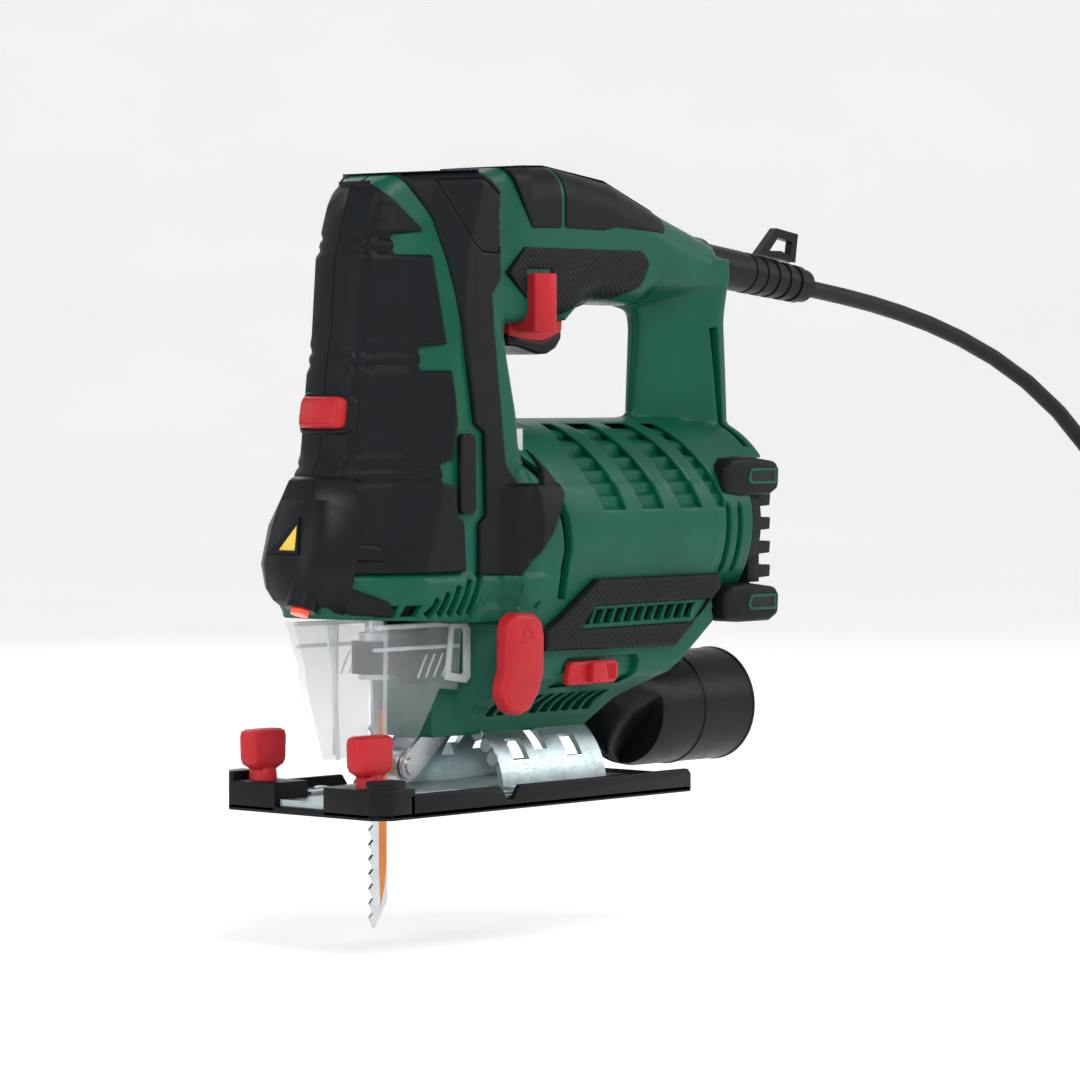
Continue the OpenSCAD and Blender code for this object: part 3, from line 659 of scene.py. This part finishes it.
def slanted(x, z0, z1, width, lean):
    """A leaning slot."""
    return [(x, z0), (x + width, z0), (x + width + lean, z1), (x + lean, z1)]


HEAD_GRIP = [(-41, 81), (-31, 114), (-27.5, 121), (-24, 152), (-22, 161), (-20, 187), (-12, 213),
             (-10.4, 213), (1, 196.2), (-8, 195), (-8, 188), (3, 188), (7, 158), (-2, 157), (-2, 149),
             (8, 149), (10, 131), (8, 119), (3, 118), (3, 111), (9, 110), (10, 100), (13, 98), (14, 81)]
NECK_GRIP = [(-3, 216), (23, 217.5), (40, 203), (39, 197), (31, 188), (32, 181), (27, 175), (28, 164),
             (34, 117), (40, 110.5), (47, 110.5), (49.5, 115), (48.5, 122), (57, 107), (49, 93), (37, 79),
             (20.5, 80), (20.5, 97), (24, 100), (23, 128), (18.5, 131), (10.5, 177), (5, 200)]
NECK_INSET = [(7, 213.5), (17, 193), (22, 189.5), (29.5, 189), (35.5, 200), (32, 208), (23, 214.5)]
TOP_PADS = [[(48, 219.6), (61, 220.6), (75.6, 221.2), (75.6, 199), (60, 198.5)],
            [(77, 221.2), (108, 216.8), (134, 207), (134.5, 204), (132, 198.5), (105, 200), (98, 198.6),
             (77, 199)]]
SIDE_PAD = [(47.5, 183), (56, 192), (119, 192), (123, 188), (119, 179), (108, 174.4), (93, 173.4),
            (85, 171.5), (79, 167.5), (70, 167.3), (69.5, 184.5), (57, 184.5), (57, 174)]
SHELL_OUTER = [(x + 1.2 * (79 < z < 212) * (x < 0), z) for x, z in OUTER]
SIDE_PANEL = [(45, 60), (45, 53), (115, 52), (140, 72), (139, 77), (73, 77), (53, 64)]
PANEL_WINDOW = [(64, 60), (71, 67.4), (133, 68), (125, 60.4)]
BARREL_WINDOWS = [[(67, 122), (71, 130.5), (76, 130.5), (88, 101), (76.5, 101)],
                  [(84, 130.5), (96, 130.5), (108.5, 101), (97, 101)],
                  [(104, 130.5), (116, 130.5), (129.5, 101), (118, 101)],
                  [(124, 130.5), (131, 130.5), (142.5, 103), (142.5, 101), (138.5, 101)]]
REAR_SLOTS = [[(x - 1.2, 78), (x - 1.2, 100), (x, 102), (x + 1.2, 100), (x + 1.2, 78), (x, 76.5)]
              for x in (144.5, 151)]
CURVED_SLOTS = [ribbon([(43.5, 118.5), (48, 114.5), (51, 110.5)], 3.6),
                ribbon([(52.6, 106.5), (56, 98), (58, 88), (58, 79), (56.8, 70.5)], 3.6)]
LOW_SLOTS = [slanted(36 + 5.6 * k, 30.4, 36.8, 3.4, 4.2) for k in range(10)]
FAN_SLOTS = [ribbon([(-4.6 + 4.9 * k, 66.6), (-1.6 + 5.1 * k, 69.6 + 0.9 * k),
                     (0.2 + 5.3 * k, 72 + 2 * k)], 2.2) for k in range(5)]
SQUARE_SLOTS = [[(x, 66.6), (x + 5.6, 66.6), (x + 7, 70), (x + 1.4, 70)] for x in (-21, -13.2)]
SLIDER_RECESS = [(57, 39.6), (94, 39.6), (97, 41.5), (98, 47.5), (96.5, 49.6), (60, 49.6), (57.6, 47)]
POST_SLOT = [(162, 165), (165, 165), (169.6, 122), (166.6, 122)]


def shell_height(x, z, d):
    """The shell, let down under the grips of the head, with a groove round the selector lever."""
    height = form(x, z) - 1.5 * blend(z, 78, 80.5) * (1 - blend(x, 44, 62))
    points = np.stack([x, z], 1)
    covered = inside(points, [HEAD_GRIP]) * strip_distance(points, [HEAD_GRIP[7:]])
    height = height - 2.2 * blend(covered, 1.2, 2.4)
    under_hub = np.hypot(x - 29, z - 57)
    height = height - groove(under_hub - 14, 1.6, 0.7)
    return rounded(height, d, 0.7)


def head_grip_height(x, z, d):
    """The soft grip of the head, with three bands sunk across it and a seam along its front."""
    height = form(x, z) + 0.3
    for low, high in ((188, 195), (149, 157), (111, 118)):
        middle = z - (low + high) / 2
        height = height - groove(middle, (high - low) / 2, 1.25) + groove(middle, 1.4, 0.8)
    seam = np.abs(height - 13.6)
    height = height - 1.0 * (1 - blend(seam, 0.2, 1.4)) * (z < 205)
    return rounded(height, d, 0.9)


def pad_height(lift, radius=0.8):
    """A pad that stands proud of the housing by lift."""
    return lambda x, z, d: rounded(form(x, z) + lift, d, radius)


def panel_height(x, z, d):
    """The flat face of the side panel."""
    return rounded(np.full_like(x, 38.0), d, 1.4)


def shade_sheet_height(x, z, d):
    """Painted shade: a dark inner skin behind the vents, standing in for the shaded inside of the housing.
    """
    return np.minimum(form(x, z) - 5.5, 60) * (d > 0.1) + 0.2


def fin_height(x, z, d):
    """Steps down the barrel behind its windows."""
    step = np.floor(z / 4.6) * 4.6 + 2.3
    radius = np.sqrt(np.maximum((BARREL_R - 2.4) ** 2 - (step - BARREL_Z) ** 2, 4))
    return np.minimum(radius, np.sqrt(np.maximum((BARREL_R - 1.6) ** 2 - (z - BARREL_Z) ** 2, 1)))


for side, hand in ((-1, "left"), (1, "right")):
    windows = ([PANEL_WINDOW, *BARREL_WINDOWS, *REAR_SLOTS, *CURVED_SLOTS, *LOW_SLOTS, *FAN_SLOTS,
                *SQUARE_SLOTS, POST_SLOT] + ([SLIDER_RECESS] if side < 0 else []))
    relief(hand + "_housing_shell", [SHELL_OUTER, OPENING, *windows], shell_height, green, side, step=1.5,
           thick=2.6, floor=0.14, stands_for=[hand + "_shell"])
    # Dark sheet inside the housing behind the vents: painted shade of the housing's inside.
    relief(hand + "_shade_sheet", [OUTER, OPENING], shade_sheet_height, painted_shade_dark, side, step=4, rings=(1.5,),
           thick=1.0, floor=0.3, slot="black_plastic")
    relief(hand + "_barrel_fins", [[(64, 100.4), (64, 131), (134, 131), (144, 104), (144, 100.4)]],
           fin_height, green, side, step=1.1, thick=1.5, slot="green_plastic")
    relief(hand + "_head_soft_grip", [HEAD_GRIP], head_grip_height, grip, side, step=1.1, thick=1.6,
           floor=0.16, stands_for=[hand + "_head_grip"])
    relief(hand + "_neck_grip", [NECK_GRIP, NECK_INSET], pad_height(0.4), grip, side, step=1.1, thick=1.8,
           floor=0.16, slot="grip_rubber")
    relief(hand + "_neck_inset", [NECK_INSET], pad_height(0.1, 0.5), grip, side, thick=1.5,
           floor=0.16, slot="grip_rubber")
    for k, loop in enumerate(TOP_PADS):
        relief(f"{hand}_handle_pad_{k + 1}", [loop], pad_height(0.6), grip, side, thick=1.6,
               floor=0.16, slot="grip_rubber")
    relief(hand + "_palm_pad", [SIDE_PAD], pad_height(0.7), grip_lined, side, thick=1.6,
           floor=0.3, stands_for=[hand + "_handle_grip"])
    relief(hand + "_panel", [SIDE_PANEL, PANEL_WINDOW], panel_height, grip_lined, side, thick=3.2,
           stands_for=[hand + "_side_panel"])


# ---------------------------------------------------------------- small housing parts

def tilted(parts, origin, degrees):
    """Solids turned about the y axis at a place in x and z, as the front of the head leans."""
    turn = Matrix.Rotation(math.radians(degrees), 3, "Y")
    at = Vector((origin[0], 0, origin[1]))
    return [([tuple(turn @ (Vector(p) - at) + at) for p in verts], faces) for verts, faces in parts]


def row(outline, count, step_x, step_z=0.0):
    """An outline repeated along a line."""
    return [[(x + step_x * k, z + step_z * k) for x, z in outline] for k in range(count)]


for side, hand in ((-1, "left"), (1, "right")):
    frame_holes = row(slanted(65.6, 61.4, 66.2, 3.9, 2.4), 11, 5.45, 0.06)
    relief(hand + "_vent_frame", [[(62, 59), (70.6, 68.4), (135, 69), (126, 59.4)], *frame_holes],
           lambda x, z, d: rounded(np.full_like(x, 36.4), d, 0.5), green, side, step=3, rings=(0.4,),
           thick=1.8, slot="green_plastic")
    for k, z in enumerate((111.5, 66)):
        foot = [(142, z - 5.4), (151, z - 7), (168, z - 7), (173, z - 4.6), (173.4, z + 2.4),
                (171.6, z + 5.2), (157, z + 7), (147, z + 6.4), (142, z + 3.4)]
        low, high = sorted((side * 24, side * 37.6))
        solid(f"{hand}_bumper_foot_{k + 1}", [slab([foot], low, high)], grip, width=1.8, segments=4,
              stands_for=["rear_bumper"] if side < 0 and k == 0 else (), slot="grip_rubber")
        mouth = [(154.5, z - 1), (156.4, z + 2.8), (170.6, z + 2.8), (170.6, z - 2.8), (156, z - 2.8)]
        inner = [(156, z - 0.6), (157.2, z + 1.9), (169.6, z + 1.9), (169.6, z - 1.9), (157, z - 1.9)]
        low, high = sorted((side * 34, side * 38.1))
        solid(f"{hand}_foot_slot_{k + 1}", [slab([mouth, inner], low, high)], green, width=0.25,
              segments=2, slot="green_plastic")
        # The back of each foot slot is dark plastic, as painted shade of the slot's depth.
        low, high = sorted((side * 34, side * 37.8))
        solid(f"{hand}_foot_slot_back_{k + 1}", [slab([inner], low, high)], painted_shade_dark,
              slot="black_plastic")
    comb = [(160, 73), (166.5, 73)]
    for k in range(4):
        z = 74.5 + 8.6 * k
        comb += [(166.5, z), (172.6, z + 0.3), (173, z + 4.6), (166.5, z + 4.9)]
    comb += [(166.5, 106), (160, 106)]
    low, high = sorted((side * 20, side * 33.4))
    solid(hand + "_bumper_comb", [slab([comb], low, high)], grip, width=0.5, segments=2,
          slot="grip_rubber")

BUMPER_DISC = [(158.6, 0.1), (158.6, 35), (160, 36), (165, 35.4), (166.4, 33.6), (166.4, 26), (164.6, 24.5),
               (164.6, 10), (165.6, 9), (165.6, 0.1)]
solid("bumper_disc", [lathe(BUMPER_DISC, centre=(0, 0, BARREL_Z), sides=96)], grip, slot="grip_rubber")
solid("bumper_bars", [slab([[(y0, 60.4), (y1, 60.4), (y1, 117), (y0, 117)]], 158.4, 165.8, "x")
                      for y0, y1 in ((-30, -22), (22, 30))], grip, width=1.2, slot="grip_rubber")

relief("label_blank", [[(10.6, 101.5), (12, 100.4), (16.8, 100.4), (18.2, 101.5), (18.2, 126.5),
                        (16.8, 127.6), (12, 127.6), (10.6, 126.5)]],
       pad_height(0.9, 0.5), black, thick=1.4, step=2,
       stands_for=["label_plate"])

# Nose cover, as rings of front edge, shoulder and back over the height
NOSE = []
for z, front, wide, shoulder, back_x, back_y in (
        (66.6, -36, 3.4, 7.4, -30, 13), (67.6, -37, 4.6, 9, -30, 15), (72, -42.4, 7, 12, -31, 17),
        (76, -44, 8.4, 14, -31, 19), (84, -44.6, 9, 15.4, -30, 20), (97, -41, 9, 15.4, -27.5, 20),
        (106, -38.4, 7.6, 12, -27, 18.4), (112, -36.4, 6, 9.8, -26.5, 14), (113.4, -35, 5, 8.6, -26.5, 13)):
    NOSE.append([(back_x, -back_y, z), (front + 4.6, -shoulder, z), (front, -wide, z), (front, 0, z),
                 (front, wide, z), (front + 4.6, shoulder, z), (back_x, back_y, z)])
solid("nose_shell", [loft(NOSE)], black, width=0.7, segments=3, stands_for=["nose_cover"])
for side, hand in ((-1, "left"), (1, "right")):
    arm = [(-33, 91.4), (-20.5, 90.6), (-20, 85.2), (-32, 85.6), (-31.6, 77), (-18, 71.4), (-15.6, 66.4),
           (-28, 67.2), (-37, 72), (-39, 82), (-38, 104), (-34, 103)]
    relief(hand + "_nose_arm", [arm], lambda x, z, d: rounded(form(x, z) + 1.7, d, 0.9), black, side,
           step=1.6, thick=2.4, slot="black_plastic")

PLATE_LEAN = math.degrees(math.atan2(3.9, 13))
triangle = [(-4.9, 88.8), (3.0, 88.8), (-3.4, 98.0)]
frame_edge = [(-6.4, 87.6), (8.6, 87.6), (-3.6, 100.6)]
yellow = moulded("yellow_mark", (0.75, 0.52, 0.08), 0.4, 0.1)
solid("nose_mark_frame", tilted([slab([frame_edge, triangle], -44.1, -42, "x")], (-43, 91), PLATE_LEAN),
      black, width=0.35, segments=2, slot="black_plastic")
solid("nose_mark", tilted([slab([triangle], -43.5, -42, "x")], (-43, 91), PLATE_LEAN), yellow)

ROCKER_AT = (-29.6, 130)
rocker_levels = [(6.4, 9.7, 5.0), (-0.6, 9.9, 5.4), (-1.8, 9.5, 5.1), (-2.4, 8.6, 4.3)]
ROCKER_Z, ROCKER_LEAN, ROCKER_BOW = 135.4, 10.4, 0.028
rocker = [[(ROCKER_AT[0] + 0.8 + depth + ROCKER_BOW * u * u, u, ROCKER_Z + v)
           for u, v in rounded_box(w, h, 2.2, 4)] for depth, w, h in rocker_levels]
solid("work_light_rocker", tilted([loft(rocker)], ROCKER_AT, ROCKER_LEAN), red, body="lights",
      stands_for=["light_switch"], smooth=50)
frame_ring = slab([rounded_box(12, 7, 3.4, 5), rounded_box(10.6, 5.9, 2.8, 5)], 0, 5, "x")
frame_ring = ([(ROCKER_AT[0] + 0.6 + x + ROCKER_BOW * y * y, y, z + ROCKER_Z)
               for x, y, z in frame_ring[0]], frame_ring[1])
solid("rocker_frame", tilted([frame_ring], ROCKER_AT, ROCKER_LEAN), black, width=0.4, segments=2,
      slot="black_plastic")

# Controls
solid("trigger_body", [slab([[(58, 176), (58, 161), (66, 160), (75, 159.4), (82, 161.2), (86, 163),
                              (86.4, 168), (86, 176)]], -9, 9)], red, body="trigger", width=1.0,
      stands_for=["trigger"])
solid("trigger_toe", [slab([[(57.6, 162.6), (66, 161), (75, 160), (82, 162), (86.6, 164), (86, 160.4),
                             (83.4, 157.2), (79, 155.2), (74, 154.9), (69, 156.2), (63, 157.6),
                             (57.6, 157.8)]], -8.9, 8.9)], black, body="trigger", width=1.6, segments=4,
      stands_for=["trigger_pad"])
LOCK = [(58, -12), (58, -20.8), (61.6, -23.6), (66.4, -23.6), (68, -22), (68, -12)]
solid("lock_button_body", [slab([LOCK], 162.4, 183, "z")], red, body="lock", width=0.7,
      stands_for=["lock_button"])
LEVER = [(20.8, 62), (22.4, 65.6), (26, 67), (34, 66.6), (38.2, 64), (39.4, 59), (39.2, 46), (36.6, 39),
         (32, 33.8), (27.4, 31.8), (21.6, 33.6), (18.4, 38.4), (18.6, 43), (20.6, 47.6)]
solid("selector_lever_body", [slab([LEVER], -42.6, -35.4)], red, body="selector", width=2.2, segments=5,
      stands_for=["selector_lever"])
mark = [(26, 56.6), (34.6, 57.2), (30.4, 63.6)]
inner_mark = [(27.6, 57.6), (33, 58), (30.4, 62)]
solid("selector_mark", [slab([mark, inner_mark], -42.85, -42.3)], red, body="selector", width=0.12,
      segments=1, slot="red_plastic")
solid("blower_slide_body", [slab([[(57.6, 41.6), (59, 47.6), (60.4, 48.6), (82.6, 48.6), (84.6, 47.4),
                                   (84.4, 42.6), (82.6, 40.6), (59, 40.4)]], -36.6, -33.4)], red,
      body="blower", width=1.0, stands_for=["blower_slider"])
solid("blower_slide_grip", [slab([[(67.4, 41.2), (67.8, 48), (75, 48), (75.6, 41.2)]], -39.4, -35.5)]
      + [slab([[(76.8 + 1.3 * k, 42), (77.4 + 1.3 * k, 42), (77.6 + 1.3 * k, 47.4), (77 + 1.3 * k, 47.4)]],
              -36.95, -36.4) for k in range(5)], red, body="blower", width=0.25, segments=2,
      slot="red_plastic")
RECESS = [(56, 38.6), (95, 38.6), (99, 41), (99.4, 48), (97.4, 50.8), (59, 50.8), (56, 47.6)]
relief("blower_recess", [RECESS],
       lambda x, z, d: np.minimum(form(x, z) - 2.6, 32.6), green, step=2, thick=1.6, slot="green_plastic")
ticks = []
for angle in (12, 38, 68, 133):
    c, s = math.cos(math.radians(angle)), math.sin(math.radians(angle))
    ticks.append(slab([[(29 + c * r - s * w, 57 + s * r + c * w)
                        for r, w in ((17.6, -0.3), (20.8, -0.3), (20.8, 0.3), (17.6, 0.3))]], -35.35, -34.6))
solid("selector_ticks", ticks, green, slot="green_plastic")


# ---------------------------------------------------------------- clear guard, blade and base

def clear(name, alpha, colour=(0.86, 0.9, 0.92)):
    """Clear plastic seen as a pale see-through skin with faint haze."""
    n = Nodes(name)
    n.join(n.ramp(n.noise(60, 3, 0.6), [(0.3, shade(colour, 0.92)), (0.7, colour)]),
           n.shader.inputs["Base Color"])
    n.join(n.span(n.noise(45, 4, 0.6), alpha * 0.8, alpha * 1.3), n.shader.inputs["Alpha"])
    n.join(n.span(n.noise(300, 3, 0.6), 0.04, 0.12), n.shader.inputs["Roughness"])
    n.bump((n.noise(70, 3, 0.5), 0.12, 0.0004))
    n.set(Specular_IOR_Level=0.8)
    return n.material


guard_clear = clear("clear_guard", 0.17, (0.5, 0.53, 0.55))
rib_clear = clear("clear_ribs", 0.4, (0.7, 0.74, 0.76))
glow = Nodes("laser_glow")
glow.join(glow.ramp(glow.noise(900, 2), [(0.3, (0.75, 0.02, 0.01)), (0.7, (1, 0.08, 0.04))]),
          glow.shader.inputs["Base Color"])
glow.set(Roughness=0.1, Emission_Color=(1, 0.05, 0.02, 1), Emission_Strength=1.4)
orange = moulded("orange_paint", (0.86, 0.28, 0.06), 0.3, 0.05)
blade_steel = metal("blade_steel", (0.62, 0.64, 0.66), 0.32, (1, 1, 30))

ribs = []
for side in (-1, 1):
    for z0, z1, reach in ((62, 63.6, 24), (54.6, 56, 22)):
        y = side * (19.5 if z0 > 60 else 18.8)
        ribs.append(block((-20, min(y, y - side * 1.6), z0), (reach, max(y, y - side * 1.6), z1)))
    bracket = [(13, 44), (23.6, 42.4), (25.6, 44.4), (25.6, 61), (23.6, 63.6), (16, 63.6)]
    hollow = [(15.6, 46.4), (22, 45.4), (22.6, 46.4), (22.6, 60), (21.6, 61.2), (17.4, 61.2)]
    y = side * 20.4
    ribs.append(slab([bracket, hollow], min(y, y - side * 1.4), max(y, y - side * 1.4)))
    ribs.append(slab([[(-9, 18), (-7.8, 18), (-6.6, 63), (-8, 63)]], *sorted((side * 11, side * 12.2))))
    for k in range(4):
        low = (1 + 4 * k, 45)
        ribs.append(slab([[low, (low[0] + 0.7, low[1]), (low[0] + 5.2, 53), (low[0] + 4.5, 53)]],
                         *sorted((side * 17.6, side * 18.5))))
ribs.append(slab([[(-19.4, 17.4), (-18, 17.4), (-20.6, 63.4), (-24.4, 63.4)]], -0.6, 0.6))
solid("guard_ribs", ribs, rib_clear, width=0.3, segments=2, slot="clear_guard")

STRIPE = [(1.4, -34), (3.4, -27), (4.2, -20), (4.4, 33), (0.6, 33), (0.7, -20)]
solid("blade_stripe", [slab([STRIPE], -0.66, 0.66)], orange, body="plunger", slot="blade_steel")

SHOE_FRONT, SHOE_REAR, SHOE_Y = -38, 124.5, 38.5
floor_loop = [(SHOE_FRONT, -33), (SHOE_FRONT + 5.5, -SHOE_Y), (SHOE_REAR - 3, -SHOE_Y), (SHOE_REAR, -35.5),
              (SHOE_REAR, 35.5), (SHOE_REAR - 3, SHOE_Y), (SHOE_FRONT + 5.5, SHOE_Y), (SHOE_FRONT, 33)]
cut = [(-16, -8), (-16, 8), (3, 8), (3, 11.6), (22, 11.6), (22, -11.6), (3, -11.6), (3, -8)]
shoe = [slab([floor_loop, cut], 0, 2.4, "z"),
        slab([[(SHOE_REAR - 2.4, -36), (SHOE_REAR, -35.5), (SHOE_REAR, 35.5), (SHOE_REAR - 2.4, 36)]],
             2.2, 6, "z")]
rail = [(-24, 0.2), (SHOE_REAR - 2.6, 0.2), (SHOE_REAR - 2.6, 6.4), (120.4, 8.2), (31, 8.2), (27.4, 3.4),
        (24.6, 3.4), (21, 8.2), (-24, 8.2)]
for side in (-1, 1):
    shoe.append(slab([rail], *sorted((side * 36, side * SHOE_Y))))
    corner = [(SHOE_FRONT, side * 11.4), (-21.4, side * 11.4), (-21.4, side * SHOE_Y),
              (SHOE_FRONT + 5.5, side * SHOE_Y), (SHOE_FRONT, side * 33)]
    shoe.append(slab([corner], 0.4, 10.2, "z"))
    lug = [(SHOE_FRONT, side * 31), (-26, side * 31), (-26, side * SHOE_Y),
           (SHOE_FRONT + 5.5, side * SHOE_Y), (SHOE_FRONT, side * 33)]
    shoe.append(slab([lug], 9.8, 13.2, "z"))
solid("shoe", shoe, black, body="base", width=0.55, segments=3, stands_for=["sliding_shoe"])

ARCH_R, PIVOT_Z = 26, 4
edge_bumps, plate = [], []
for side in (-1, 1):
    plate.append(slab([[(30, side * 23.6), (92, side * 23.6), (94, side * 27), (94, side * 33),
                        (24, side * 33)]], 4.6, 5.4, "z"))
    for x in (4, 98):
        plate.append(lathe([(4.4, 0.1), (4.4, 3.2), (5.3, 2.8), (5.7, 1.6), (5.7, 0.1)], "z",
                           (x, side * 30, 0), 32))
    plate.append(slab([[(-18, side * 13.4), (22, side * 14.6), (26, side * 18.6), (26, side * 20.8),
                        (20, side * 17.2), (-18, side * 15.8)]], 4.5, 6.1, "z"))
for k in range(11):
    a = math.radians(28 + 12.4 * k)
    y, z = (ARCH_R + 0.05) * math.cos(a), PIVOT_Z + (ARCH_R + 0.05) * math.sin(a)
    edge_bumps.append(lathe([(-0.4, 0.1), (-0.4, 2.4), (0.5, 2.1), (0.5, 0.1)], "x",
                            (34.6, y * 0.965, z - 0.9 * math.sin(a)), 16))
solid("sole_beads", plate, zinc, body="base", width=0.3, segments=2, slot="zinc_steel")
solid("arch_teeth", edge_bumps, zinc, body="base", slot="zinc_steel")

for side, hand in ((-1, "left"), (1, "right")):
    centre = (-29.5, side * 25)
    wing = [[(centre[0] + u, centre[1] + v, z) for u, v in rounded_box(w, h, 2.6, 4)]
            for z, w, h in ((13.2, 3.6, 3.2), (14.4, 5.2, 3.6), (15.6, 7.4, 3.9), (17.4, 8.2, 4.1),
                            (25, 8.5, 4.1), (26.8, 8.2, 3.8), (27.5, 7.2, 2.9))]
    stem = [(10.1, 0.1), (10.1, 4.9), (13.4, 4.6), (14.6, 4), (14.6, 0.1)]
    stud = [(3, 0.1), (3, 2.4), (10.2, 2.4), (10.2, 0.1)]
    solid(hand + "_wing_knob", [loft(wing), lathe(stem, "z", (*centre, 0), 40)], red,
          body=hand + "_knob", smooth=42, stands_for=[hand + "_guide_knob"])
    solid(hand + "_knob_stud", [lathe(stud, "z", (*centre, 0), 32)], steel, body=hand + "_knob",
          slot="steel")

# Dust spout: a slanted nose that opens into the bore for the hose
SPOUT_Z = 27
SPOUT_SIDES = 72
# Way of the tilted base under the nose: to which x, from which z, its slope, and the gap kept
BASE_WAY_END, BASE_WAY_Z, BASE_WAY_SLOPE, BASE_WAY_GAP = 128, 10, 1.167, 0.4


def spout_ring(x, cz, r):
    """One ring of the nose. In front of the spout its flanks leave the way of the tilted base."""
    ring = []
    for k in range(SPOUT_SIDES):
        angle = 2 * math.pi * k / SPOUT_SIDES
        y, z = r * math.cos(angle), cz + r * math.sin(angle)
        room = max((z - BASE_WAY_Z) / BASE_WAY_SLOPE - BASE_WAY_GAP, 0.05) if x < BASE_WAY_END else r
        ring.append((x, max(-room, min(room, y)), z))
    return ring


nose = [spout_ring(x, cz, r)
        for x, cz, r in ((97, 40.4, 1.5), (98, 39.8, 5), (101, 38.2, 8.6), (106, 35.6, 12.2),
                         (113, 32.2, 15.8), (120, 29.4, 18.4), (127.4, 27.6, 20), (128.4, 27.5, 20.1),
                         (133, 27, 20.5), (152, 27, 20.5), (152, 27, 17.5), (129.5, 27.6, 16.5))]
solid("dust_nose", [loft(nose)], black, smooth=40, stands_for=["dust_elbow"])
solid("dust_neck", [slab([[(-12, 41), (12, 41), (12, 57), (-12, 57)]], 122, 150, "x")], black, width=1.5,
      slot="black_plastic")
for name, x, radius in (("spout_seam", 151.4, 20.9), ("spout_rim", 178.6, 20.8)):
    band = [(x, 18), (x, radius - 0.3), (x + 0.3, radius), (x + 1.1, radius), (x + 1.4, radius - 0.3),
            (x + 1.4, 18)]
    solid(name, [lathe(band, centre=(0, 0, SPOUT_Z), sides=96)], black, slot="black_plastic")

# ---------------------------------------------------------------- materials of the CAD nodes

FINISH = {
    steel: ("housing_screws", "armature", "gear_axle", "plunger_rod", "blade_clamp", "fork_pin",
            "guide_roller", "roller_pin", "orbital_fork", "front_bearing", "rear_bearing", "base_screw",
            "cord_clamp", "drive_gear", "motor_pinion", "motor_stator", "plug_pins"),
    zinc: ("sole_plate", "base_cradle"),
    cast: ("gearbox_plate",),
    copper: ("motor_windings", "commutator"),
    bronze: ("plunger_bushes", "brush_holders"),
    carbon: ("carbon_brushes",),
    black: ("clamp_collar", "switch_module", "laser_module", "cooling_fan", "dust_sleeve",
            "strain_relief", "key_clip", "coil_tie"),
    guard_clear: ("blade_guard",),
    glow.material: ("laser_lens",),
    blade_steel: ("blade",),
}
for material, names in FINISH.items():
    for name in names:
        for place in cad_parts[name].material_slots:
            place.material = material
